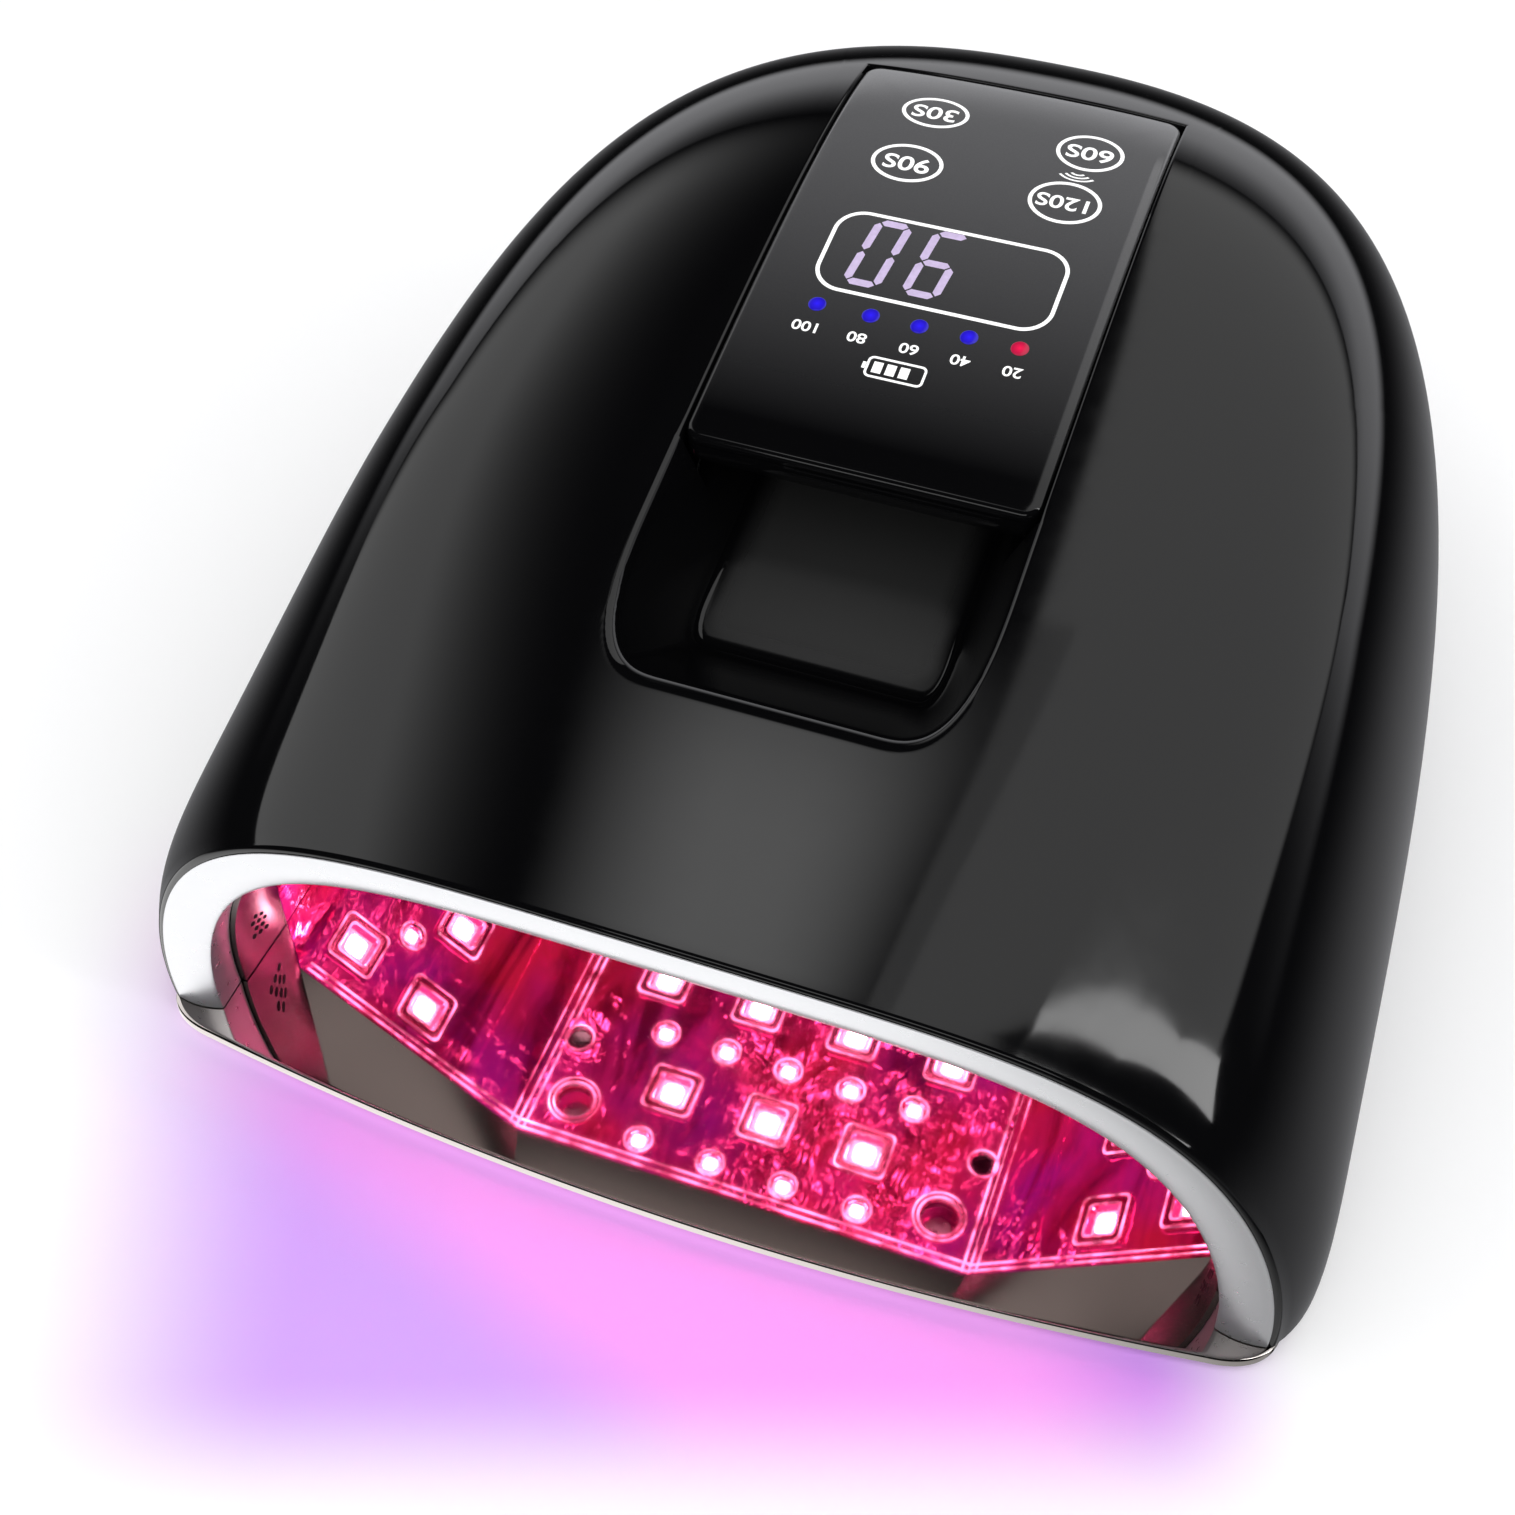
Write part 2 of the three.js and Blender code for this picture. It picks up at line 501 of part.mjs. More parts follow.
add('entrance_hood', entranceHood(), REFLECTOR);
const liner = reflectors();
add('reflector_roof', liner.central, REFLECTOR);
add('reflector_left', liner.left, REFLECTOR);
add('reflector_right', liner.right, REFLECTOR);
add('reflector_rear', liner.rear, REFLECTOR);
WELLS.forEach(([x, y], i) => add(`liner_screw_${i + 1}`, panHead(x, y, CEILING + 5.2, 2.8, 1.3, 11), STEEL));
add('led_board_roof', ceilingBoard(), BOARD);
add('led_board_left', facetBoard(-1), BOARD);
add('led_board_right', facetBoard(1), BOARD);
['left', 'right'].forEach((name, i) =>
  add(`sensor_${name}`, post((2 * i - 1) * SENSOR[0], SENSOR[1], CEILING + 0.4, CEILING + 6.4, 2.4), DARK_LENS));

// ---- Handle deck: an open tray that carries the touch board, closed by the glossy lens ----
const tray = roofSlab(DECK, LENS + GAP, DECK.depth).subtract(
  roofSlab({ halfWidth: DECK.halfWidth - DECK.wall, front: DECK.front + 6, rear: DECK.rear - DECK.wall },
    -2, DECK.depth - DECK.wall));
add('control_deck', tray, MATT_BLACK);
add('control_panel', roofSlab({ halfWidth: DECK.halfWidth, front: DECK.front, rear: DECK.rear }, 0, LENS), DARK_LENS);

// The touch board is flat, so it lies on the chord of the roof under the panel.
const BOARD_SPAN = [-16, 62];
const chordLow = roof(0, BOARD_SPAN[0]);
const chordHigh = roof(0, BOARD_SPAN[1]);
const boardGroup = new THREE.Group();
boardGroup.position.set(0, (BOARD_SPAN[0] + BOARD_SPAN[1]) / 2, (chordLow + chordHigh) / 2 - 6.2);
boardGroup.rotation.x = Math.atan2(chordHigh - chordLow, BOARD_SPAN[1] - BOARD_SPAN[0]);
lamp.add(boardGroup);
add('touch_board', plate(56, 78, -0.6, 0.6), GREEN_BOARD, boardGroup);
const ON_BOARD = 0.6 + GAP;
add('display_module', at(new THREE.BoxGeometry(44, 20, 4), 0, -6, ON_BOARD + 2), MATT_BLACK, boardGroup);
for (let i = 0; i < 5; i++) {
  add(`battery_light_${i + 1}`, at(new THREE.CylinderGeometry(1.5, 1.5, 4, 12).rotateX(Math.PI / 2),
    (i - 2) * 9.2, -23, ON_BOARD + 2), CLEAR, boardGroup);
}
const springRing = () => new THREE.LatheGeometry([[2, 0], [3, 0], [2.4, 4], [1.6, 4], [2, 0]]
  .map(([r, z]) => new THREE.Vector2(r, z)), 12).rotateX(Math.PI / 2);
[[-13.7, 34], [-14.2, 17.5], [17.2, 31], [16.4, 15.5]].forEach(([x, y], i) =>
  add(`touch_spring_${i + 1}`, at(springRing(), x, y, ON_BOARD), STEEL, boardGroup));

// ---- Battery pack and driver board above the liner ----
const CELL_RADIUS = 9.2;
const CELL_Z = CEILING + 6.6 + 1.6 + CELL_RADIUS;
const cellProfile = [[0, -32.5], [CELL_RADIUS, -32.5], [CELL_RADIUS, 31.4], [4, 31.4], [4, 32.5], [0, 32.5]];
const cells = [5.5, 24.5, 43.5, 62.5];
cells.forEach((y, i) => add(`battery_cell_${i + 1}`, new THREE.LatheGeometry(
  cellProfile.map(([r, z]) => new THREE.Vector2(r, z)), 18).rotateZ(i % 2 ? Math.PI / 2 : -Math.PI / 2)
  .translate(0, y, CELL_Z), CELL));
let bracket = box(0, 34, CEILING + 8, 60, 80, 6);
for (const y of cells) {
  bracket = bracket.subtract(solid(new THREE.CylinderGeometry(CELL_RADIUS + GAP, CELL_RADIUS + GAP, 66, 18)
    .rotateZ(Math.PI / 2).translate(0, y, CELL_Z)));
}
bracket = bracket.subtract(box(0, 34, CEILING + 4, 54, 74, 4));
add('battery_bracket', bracket, MATT_BLACK);

let driver = box(61, 0, CEILING + 8.4, 40, 90, 1.6);
driver = driver.add(box(56, -24, CEILING + 13, 14, 14, 9)).add(box(64, 26, CEILING + 11.6, 16, 22, 6));
for (const y of [-4, 8]) driver = driver.add(post(54, y, CEILING + 8.6, CEILING + 19, 4.6, 12));
add('main_board', driver, GREEN_BOARD);

// ---- Rear connectors ----
let socket = box(INLET.x, REAR_FACE - INLET.depth / 2, INLET.z, INLET.size, INLET.depth, INLET.size);
socket = socket.add(box(INLET.x, REAR_FACE - 0.5, INLET.z, INLET.size + 4, 1, INLET.size + 4));
socket = socket.subtract(solid(new THREE.CylinderGeometry(3.2, 3.2, 10, ROUND)
  .translate(INLET.x, REAR_FACE - 3, INLET.z)));
socket = socket.add(solid(new THREE.CylinderGeometry(1, 1, 8, 8).translate(INLET.x, REAR_FACE - 5, INLET.z)));
add('dc_inlet', socket, MATT_BLACK);

let bezel = box(SWITCH.x, REAR_FACE - SWITCH.depth / 2, SWITCH.z, SWITCH.width, SWITCH.depth, SWITCH.height);
bezel = bezel.add(box(SWITCH.x, REAR_FACE - 0.5, SWITCH.z, SWITCH.width + 3, 1, SWITCH.height + 3));
bezel = bezel.subtract(box(SWITCH.x, REAR_FACE - 3, SWITCH.z, SWITCH.width - 3, 12, SWITCH.height - 2));
add('power_switch', bezel, MATT_BLACK);
const rocker = new THREE.Shape(ROCKER.profile.map(([x, y]) => new THREE.Vector2(x, y)));
add('power_rocker', new THREE.ExtrudeGeometry(rocker, { depth: ROCKER.width, bevelEnabled: false })
  .rotateY(Math.PI / 2).translate(-ROCKER.width / 2, 0, 0).rotateX(-ROCKER.tilt)
  .translate(SWITCH.x, REAR_FACE - ROCKER.sunk, SWITCH.z), GLOSS_BLACK);

export default lamp;
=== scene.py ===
import math

import bmesh
import bpy
import numpy as np
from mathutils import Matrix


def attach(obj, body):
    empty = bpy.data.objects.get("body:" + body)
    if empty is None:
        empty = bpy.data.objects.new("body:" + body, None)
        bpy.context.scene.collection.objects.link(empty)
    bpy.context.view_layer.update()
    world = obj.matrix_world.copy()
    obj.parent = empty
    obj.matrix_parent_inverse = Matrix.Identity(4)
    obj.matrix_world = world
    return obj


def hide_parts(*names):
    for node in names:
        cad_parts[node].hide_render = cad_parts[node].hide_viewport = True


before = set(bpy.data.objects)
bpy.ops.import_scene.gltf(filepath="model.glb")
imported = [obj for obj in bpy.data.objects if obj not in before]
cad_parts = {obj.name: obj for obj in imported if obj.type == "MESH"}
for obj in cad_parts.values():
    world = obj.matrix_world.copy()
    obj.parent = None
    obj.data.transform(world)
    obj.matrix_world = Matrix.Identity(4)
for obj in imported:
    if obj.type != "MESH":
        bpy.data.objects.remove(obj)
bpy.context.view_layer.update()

# ---- Camera ----
# A salon table view from the front right and above, which shows the roof, the timer panel and the
# mouth together. Angles are from the lamp's own front, and the target is on the base plate.
CAMERA_AZIMUTH = math.radians(19.884)
CAMERA_ELEVATION = math.radians(49.292)
CAMERA_DISTANCE = 0.42123
CAMERA_TARGET = np.array([-0.02049, -0.02541, 0.0035])
CAMERA_LENS = 48.984

look = np.array([math.sin(CAMERA_AZIMUTH) * math.cos(CAMERA_ELEVATION),
                 -math.cos(CAMERA_AZIMUTH) * math.cos(CAMERA_ELEVATION), math.sin(CAMERA_ELEVATION)])
camera_data = bpy.data.cameras.new("camera")
camera_data.lens = CAMERA_LENS
camera_data.sensor_width = 36.0
camera_data.clip_start = 0.01
camera = bpy.data.objects.new("camera", camera_data)
camera.location = CAMERA_TARGET + look * CAMERA_DISTANCE
camera.rotation_euler = (math.pi / 2 - CAMERA_ELEVATION, 0.0, CAMERA_AZIMUTH)
bpy.context.scene.collection.objects.link(camera)
bpy.context.scene.camera = camera
bpy.context.scene.view_settings.view_transform = "Standard"

# ---- Studio light ----
# A bright even room for the pale floor. Gloss mirrors a dark room instead, with a dim table below,
# a pale wall behind and lit ceiling panels that the black roof shows as broad grey bands.
ROOM_GLOW = 1.2
OVERHEAD_GLOW, BELOW_GLOW, REAR_GLOW = 0.006, 0.24, 1.3


def linear(code):
    """An sRGB hex colour such as 'd8c9d2' as linear RGBA: c/12.92 below 0.04045, and above it
    ((c + 0.055)/1.055)^2.4."""
    c = np.array([int(code[i:i + 2], 16) for i in (0, 2, 4)]) / 255.0
    return (*np.where(c <= 0.04045, c / 12.92, ((c + 0.055) / 1.055) ** 2.4), 1.0)


def wire(tree, kind, sockets=None, **settings):
    """Adds a node: settings are its properties, sockets its inputs by name or number, values or outputs."""
    node = tree.nodes.new(kind)
    for name, value in settings.items():
        setattr(node, name, value)
    for key, value in (sockets or {}).items():
        if isinstance(value, bpy.types.NodeSocket):
            tree.links.new(value, node.inputs[key])
        else:
            node.inputs[key].default_value = value
    return node


world = bpy.data.worlds.new("studio")
bpy.context.scene.world = world
world.use_nodes = True
sky = world.node_tree
sky.nodes.clear()
ray = wire(sky, "ShaderNodeLightPath")
room = wire(sky, "ShaderNodeBackground", {"Color": linear("ffffff"), "Strength": ROOM_GLOW})
way = wire(sky, "ShaderNodeSeparateXYZ", {0: wire(sky, "ShaderNodeTexCoord").outputs["Generated"]})
below = wire(sky, "ShaderNodeMapRange", {"Value": way.outputs[2], "From Min": 0.05, "From Max": -0.55,
                                         "To Min": OVERHEAD_GLOW, "To Max": BELOW_GLOW},
             interpolation_type="SMOOTHSTEP")
rear_wall = REAR_GLOW  # a soft band from about 5 to 25 degrees up, fading to the sides
for axis, low, high in ((1, 0.25, 0.75), (2, 0.04, 0.16), (2, 0.55, 0.30)):
    band = wire(sky, "ShaderNodeMapRange", {"Value": way.outputs[axis], "From Min": low, "From Max": high},
                interpolation_type="SMOOTHSTEP")
    rear_wall = wire(sky, "ShaderNodeMath", {0: rear_wall, 1: band.outputs[0]}, operation="MULTIPLY").outputs[0]
gloss_level = wire(sky, "ShaderNodeMath", {0: below.outputs[0], 1: rear_wall}, operation="ADD")
dark_room = wire(sky, "ShaderNodeBackground", {"Color": linear("f4f4f8"), "Strength": gloss_level.outputs[0]})
seen = wire(sky, "ShaderNodeMixShader", {0: ray.outputs["Is Glossy Ray"], 1: room.outputs[0],
                                         2: dark_room.outputs[0]})
wire(sky, "ShaderNodeOutputWorld", {"Surface": seen.outputs[0]})


def lit_sheet(name, corners, glow):
    """A flat sheet that shines with strength glow, unseen by the camera: object, node tree, shader."""
    sheet = bpy.data.meshes.new(name)
    sheet.from_pydata(corners, [], [tuple(range(len(corners)))])
    paint = bpy.data.materials.new(name)
    paint.use_nodes = True
    tree = paint.node_tree
    tree.nodes.clear()
    lit = wire(tree, "ShaderNodeEmission", {"Strength": glow})
    wire(tree, "ShaderNodeOutputMaterial", {"Surface": lit.outputs[0]})
    sheet.materials.append(paint)
    made = bpy.data.objects.new(name, sheet)
    made.visible_camera = False
    bpy.context.scene.collection.objects.link(made)
    return made, tree, lit


def soft_panel(name, x, y, height, glow, fade):
    """A level lit sheet over the ranges x and y, in metres: even inside, and fading to nothing
    over its own fade width, in metres, from its left, right, front and rear edges."""
    corners = [(x[0], y[0], height), (x[0], y[1], height), (x[1], y[1], height), (x[1], y[0], height)]
    made, tree, lit = lit_sheet(name, corners, glow)
    spot = wire(tree, "ShaderNodeTexCoord").outputs["Object"]
    axes = wire(tree, "ShaderNodeSeparateXYZ", {0: spot}).outputs
    level = glow
    for axis, edge, inward, width in ((0, x[0], 1, fade[0]), (0, x[1], -1, fade[1]), (1, y[0], 1, fade[2]),
                                      (1, y[1], -1, fade[3])):
        ramp = wire(tree, "ShaderNodeMapRange", {"Value": axes[axis], "From Min": edge,
                                                 "From Max": edge + inward * width, "To Max": 1.0},
                    interpolation_type="SMOOTHSTEP")
        level = wire(tree, "ShaderNodeMath", {0: level, 1: ramp.outputs[0]}, operation="MULTIPLY").outputs[0]
    tree.links.new(level, lit.inputs["Strength"])
    return made


# Two ceiling panels either side of a narrow gap give the two broad grey bands and the black
# strip between them, with a faint light in the gap and a narrow bright skylight along the front of
# the right one.
# The sheet just over the floor is the bright table that the silver arch mirrors; it lights nothing.
CEILING_HEIGHT = 1.0
SKYLIGHT = ((0.265, 0.064), (0.45, 0.067), (0.70, 0.079), (1.2, 0.132), (2.37, 0.40), (4.13, 0.156),
            (0.736, 0.011), (0.284, 0.046))
soft_panel("ceiling_right", (-0.07, 2.3), (0.05, 1.62), CEILING_HEIGHT, 1.0, (0.01, 0.3, 0.01, 0.3))
soft_panel("ceiling_left", (-3.2, -0.36), (0.04, 1.35), CEILING_HEIGHT, 1.15, (0.02, 0.45, 0.01, 0.5))
soft_panel("ceiling_gap", (-0.36, -0.03), (0.0, 0.26), CEILING_HEIGHT, 2.0, (0.14, 0.16, 0.12, 0.12))
lit_sheet("skylight", [(x, y, CEILING_HEIGHT - 0.01) for x, y in SKYLIGHT], 5.5)
table_glow = soft_panel("table_glow", (-0.45, 0.16), (-0.42, -0.116), 0.0008, 1.4, (0.3, 0.17, 0.1, 0.002))
table_glow.visible_diffuse = False
table_glow.visible_shadow = False

# The one lamp is a soft window high ahead of the mouth.
WINDOW_PLACE, WINDOW_AIM = (0.1, -1.5, 1.1), (0, 0, 0.05)
window_data = bpy.data.lights.new("front_window", "AREA")
window_data.shape = "RECTANGLE"
window_data.size, window_data.size_y = 1.2, 0.5
window_data.energy = 3.0
window = bpy.data.objects.new("front_window", window_data)
toward = np.array(WINDOW_AIM, float) - np.array(WINDOW_PLACE, float)
flat = math.hypot(toward[0], toward[1])
window.location = WINDOW_PLACE
window.rotation_euler = (math.atan2(flat, -toward[2]), 0.0, math.atan2(toward[1], toward[0]) - math.pi / 2)
window.visible_camera = False
bpy.context.scene.collection.objects.link(window)

# ---- Floor ----
# A plain white laminate table top. The pool of violet light that the lamp throws in front of its
# mouth is a tint of the floor, so that it keeps its place and strength.


def material(name, **sockets):
    """A material with one Principled shader, its constants set on the shader's own sockets."""
    made = bpy.data.materials.new(name)
    made.use_nodes = True
    tree = made.node_tree
    tree.nodes.clear()
    shader = wire(tree, "ShaderNodeBsdfPrincipled", {k.replace("_", " "): v for k, v in sockets.items()})
    wire(tree, "ShaderNodeOutputMaterial", {"Surface": shader.outputs[0]})
    return made, tree, shader


FLOOR_HALF = 8.0
floor_mesh = bpy.data.meshes.new("floor")
floor_mesh.from_pydata([(-FLOOR_HALF, -FLOOR_HALF, 0), (FLOOR_HALF, -FLOOR_HALF, 0),
                        (FLOOR_HALF, FLOOR_HALF, 0), (-FLOOR_HALF, FLOOR_HALF, 0)], [], [(0, 1, 2, 3)])
floor = bpy.data.objects.new("floor", floor_mesh)
floor.visible_glossy = False
bpy.context.scene.collection.objects.link(floor)

floor_paint, tree, shader = material("white_table_laminate", Roughness=0.6)
spot = wire(tree, "ShaderNodeTexCoord").outputs["Object"]
# The pool lies in a band turned a little from the mouth: violet at both ends and far from the
# mouth, pink in its middle. Each edge is an axis, where the light is gone and where it is full.
POOL_TURN = -0.347
POOL_EDGES = ((0, -0.164, -0.104), (0, 0.064, 0.034), (1, -0.177, -0.147), (1, -0.02, -0.08))
turned = wire(tree, "ShaderNodeMapping", {"Vector": spot, "Rotation": (0, 0, POOL_TURN)})
pool_axes = wire(tree, "ShaderNodeSeparateXYZ", {0: turned.outputs[0]}).outputs
skewed = wire(tree, "ShaderNodeMath", {0: pool_axes[1], 1: 1.2, 2: pool_axes[0]}, operation="MULTIPLY_ADD")
reach = 0.96
for axis, gone, full in POOL_EDGES:
    edge = wire(tree, "ShaderNodeMapRange", {"Value": pool_axes[axis], "From Min": gone, "From Max": full},
                interpolation_type="SMOOTHSTEP")
    reach = wire(tree, "ShaderNodeMath", {0: reach, 1: edge.outputs[0]}, operation="MULTIPLY").outputs[0]
pink = wire(tree, "ShaderNodeMapRange", {"Value": skewed.outputs[0], "From Min": -0.252, "From Max": -0.210},
            interpolation_type="SMOOTHSTEP")
end = wire(tree, "ShaderNodeMapRange", {"Value": pool_axes[0], "From Min": 0.012, "From Max": 0.040},
           interpolation_type="SMOOTHSTEP")
glow = wire(tree, "ShaderNodeMix", {0: pink.outputs[0], 6: linear("c89cf6"), 7: linear("f29efc")},
            data_type="RGBA")
glow = wire(tree, "ShaderNodeMix", {0: end.outputs[0], 6: glow.outputs[2], 7: linear("d08ef4")},
            data_type="RGBA")
lit_floor = wire(tree, "ShaderNodeMix", {0: reach, 6: linear("fcfcfd"), 7: glow.outputs[2]}, data_type="RGBA")
tree.links.new(lit_floor.outputs[2], shader.inputs["Base Color"])
floor_mesh.materials.append(floor_paint)

# ---- Top shell ----
# One gloss black ABS moulding: a dome whose sections and outline are superellipses, with the
# finger scoop sunk in its roof ahead of the slot for the handle deck. Sizes are in millimetres
# on the lamp's own axes, whose y is SHIFT_Y more than the frame's.
SHIFT_Y = 2.5
SEAT = 3.5
FRONT, REAR, ARC_START = -113.4, 131.2, -70.0
HALF_FRONT, HALF_WIDTH, WALL = 102.8, 108.2, 2.5
PLAN_POWERS = (2.43, 3.46)
RIDGE = ((FRONT, 70.8), (-28.0, 89.9), (40.0, 101.6), (100.0, 102.6))
FRONT_POWERS, SIDE_POWERS, REAR_POWERS = (4.7, 1.76), (8.0, 1.35), (9.9, 1.82)
LEAN = 0.08
SLOT_HALF, SLOT_FRONT, SLOT_REAR, SLOT_DEPTH = 31.6, -31.3, 72.3, 11.8
RIM_HALF, RIM_FRONT, FLOOR_HALF_X, FLOOR_FRONT, SCOOP_DEPTH = 32.4, -77.4, 21.5, -51.5, 21.0
SCOOP_ROUND = 0.32
PATCH_HALF, PATCH_REAR = 36.0, 77.0


def ridge(y):
    """Height of the roof's centre line over the seat: the cubic through the four RIDGE stations."""
    total = np.zeros_like(y)
    for yi, zi in RIDGE:
        weight = np.full_like(y, zi)
        for yj, _ in RIDGE:
            if yj != yi:
                weight = weight * (y - yj) / (yi - yj)
        total = total + weight
    return total


def smooth(u):
    """0 to 1 with level ends: 3u^2 - 2u^3, held outside."""
    u = np.clip(u, 0, 1)
    return u * u * (3 - 2 * u)


def side_width(y):
    """Half-width of the outline ahead of ARC_START: it draws in with the sixth power towards the mouth."""
    return HALF_WIDTH - (HALF_WIDTH - HALF_FRONT) * ((ARC_START - y) / (ARC_START - FRONT)) ** 6


def powers(y, edge_y):
    """The two powers of the section at y whose direction meets the outline at edge_y: the front
    ones turn into the side ones over the first part of the length, then the rear ones take over."""
    rise = smooth((y - FRONT) / (ARC_START + 40 - FRONT))
    rear = np.clip((edge_y - ARC_START) / (REAR - ARC_START), 0, 1) ** 4
    pair = []
    for front, side, back in zip(FRONT_POWERS, SIDE_POWERS, REAR_POWERS):
        along = front + (side - front) * rise
        pair.append(along + (back - along) * rear)
    return pair


def share(x, y):
    """How far (x, y) lies from the spine (0) to the outline (1): the s where (x/s, y/s) is on the
    superellipse, found by halving."""
    low, high = np.full(np.shape(x), 1e-6), np.ones(np.shape(x))
    for _ in range(44):
        middle = (low + high) / 2
        beyond = ((np.abs(x) / (HALF_WIDTH * middle)) ** PLAN_POWERS[0]
                  + (np.clip(y - ARC_START, 0, None) / ((REAR - ARC_START) * middle)) ** PLAN_POWERS[1]) > 1
        low, high = np.where(beyond, middle, low), np.where(beyond, high, middle)
    return np.where(y <= ARC_START, np.abs(x) / side_width(np.minimum(y, ARC_START)), high)


def leaned(x, y, z):
    """A dome point, z above the seat: towards the mouth it leans forward, at last by LEAN per millimetre."""
    lean = LEAN * z * np.clip((ARC_START + 40 - y) / (ARC_START + 40 - FRONT), 0, 1) ** 3
    return np.stack(np.broadcast_arrays(x, y - lean, SEAT + z), axis=-1)


def roof_height(x, y):
    """Height of the dome over (x, y) above the seat: ridge(y) (1 - s^n)^(1/m)."""
    s = share(x, y)
    edge = np.where(y <= ARC_START, y, ARC_START + (y - ARC_START) / np.maximum(s, 1e-9))
    n, m = powers(y, edge)
    return ridge(y) * (1 - s ** n) ** (1 / m)


def flank(x, y, rows):
    """Grid from the foot up to the roof points (x, y): each column keeps the direction from the spine."""
    s_in = share(x, y)
    spine = np.minimum(y, ARC_START)
    out_x, out_y = x / s_in, spine + (y - spine) / s_in
    n, m = powers(out_y, out_y)
    last = 1 - (1 - np.arccos(s_in ** (n / 2)) / (math.pi / 2)) ** (2 / n)
    v = np.linspace(0, 1, rows)[:, None] * last
    bend = math.pi / 2 * (1 - (1 - v) ** (n / 2))
    s = np.cos(bend) ** (2 / n)
    py = spine + (out_y - spine) * s
    n, m = powers(py, out_y)
    return leaned(out_x * s, py, ridge(py) * np.clip(1 - s ** n, 0, None) ** (1 / m))


def weld(grids):
    """Grids of points joined where they meet, to a thousandth of a millimetre: the points, the
    faces' corners in a row and the size of each face."""
    points, quads, count = [], [], 0
    for grid in grids:
        rows, columns = grid.shape[:2]
        index = np.arange(rows * columns).reshape(rows, columns) + count
        around = [index[:-1, :-1], index[:-1, 1:], index[1:, 1:], index[1:, :-1]]
        quads.append(np.stack(around, -1).reshape(-1, 4))
        points.append(grid.reshape(-1, 3))
        count += rows * columns
    points, quads = np.concatenate(points), np.concatenate(quads)
    _, first, inverse = np.unique(np.round(points, 3) + 0.0, axis=0, return_index=True, return_inverse=True)
    quads = inverse.reshape(-1)[quads]
    keep = quads != np.roll(quads, 1, axis=1)
    keep &= ~((quads == np.roll(quads, 2, axis=1)).any(axis=1)[:, None])
    sizes = keep.sum(axis=1)
    good = sizes >= 3
    return points[first], quads[good][keep[good]], sizes[good]


def end_caps(ring):
    """Both ends of a grid whose lines close on themselves, each filled as a fan from its first point."""
    return [np.stack([ring[:, k], np.broadcast_to(ring[0, k], ring[:, k].shape)]) for k in (0, -1)]


def skin(name, grids, paint, body="housing", sharp=40.0):
    """A smooth-shaded piece from grids of points in the lamp's own millimetres, riding on a body."""
    points, corners, sizes = weld(grids)
    points = (points - (0, SHIFT_Y, 0)) / 1000
    mesh = bpy.data.meshes.new(name)
    mesh.vertices.add(len(points))
    mesh.vertices.foreach_set("co", points.astype(np.float32).ravel())
    mesh.loops.add(len(corners))
    mesh.loops.foreach_set("vertex_index", corners.astype(np.int32))
    mesh.polygons.add(len(sizes))
    mesh.polygons.foreach_set("loop_start", np.concatenate([[0], np.cumsum(sizes)[:-1]]).astype(np.int32))
    mesh.update(calc_edges=True)
    mesh.validate()
    work = bmesh.new()
    work.from_mesh(mesh)
    bmesh.ops.recalc_face_normals(work, faces=work.faces)
    if work.calc_volume(signed=True) < 0:
        bmesh.ops.reverse_faces(work, faces=work.faces)
    work.to_mesh(mesh)
    work.free()
    mesh.shade_smooth()
    mesh.set_sharp_from_angle(angle=math.radians(sharp))
    mesh.materials.append(paint)
    made = bpy.data.objects.new(name, mesh)
    bpy.context.scene.collection.objects.link(made)
    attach(made, body)
    return made


def scoop_depth(x, y):
    """Depth of the finger scoop: a bowl with straight walls and tight fillets between rim and floor.

    u is 0 on the rim and 1 on the floor, from the two walls' shares joined as a corner rounded by
    SCOOP_ROUND of a wall's width at the floor, and by a whole width more at the rim.
    """
    beside = (RIM_HALF - np.abs(x)) / (RIM_HALF - FLOOR_HALF_X)
    ahead = (y - RIM_FRONT) / (FLOOR_FRONT - RIM_FRONT)
    out_x, out_y = np.clip(1 + SCOOP_ROUND - beside, 0, None), np.clip(1 + SCOOP_ROUND - ahead, 0, None)
    u = np.clip(1 + SCOOP_ROUND - (out_x ** 3 + out_y ** 3) ** (1 / 3), 0, 1)
    fillet = 0.15
    low = u * u / (2 * fillet)
    wall = u - fillet / 2
    high = (1 - fillet) - (1 - u) ** 2 / (2 * fillet)
    return SCOOP_DEPTH * np.where(u < fillet, low, np.where(u > 1 - fillet, high, wall)) / (1 - fillet)


def spaced(*stretches):
    """Grid lines: each stretch is (from, to, step) in millimetres."""
    lines = [np.linspace(a, b, max(2, int(round((b - a) / step)) + 1)) for a, b, step in stretches]
    return np.unique(np.round(np.concatenate(lines), 4))


ROUND_OVER = 0.5
half_lines = spaced((0, 17, 1.4), (17, 24, 0.45), (24, 31, 0.6), (31, SLOT_HALF, 0.1),
                    (SLOT_HALF, 33.2, 0.2), (33.2, PATCH_HALF, 0.7))
x_lines = np.concatenate([-half_lines[:0:-1], half_lines])
y_lines = spaced((FRONT, -80, 1.5), (-80, -66, 0.4), (-66, -58, 0.8), (-58, -44, 0.5), (-44, -34, 1.2),
                 (-34, SLOT_FRONT - ROUND_OVER, 0.4), (SLOT_FRONT - ROUND_OVER, SLOT_FRONT, 0.1),
                 (SLOT_FRONT, 70, 2.2), (70, SLOT_REAR, 0.5), (SLOT_REAR, SLOT_REAR + ROUND_OVER, 0.1),
                 (SLOT_REAR + ROUND_OVER, PATCH_REAR, 0.8))

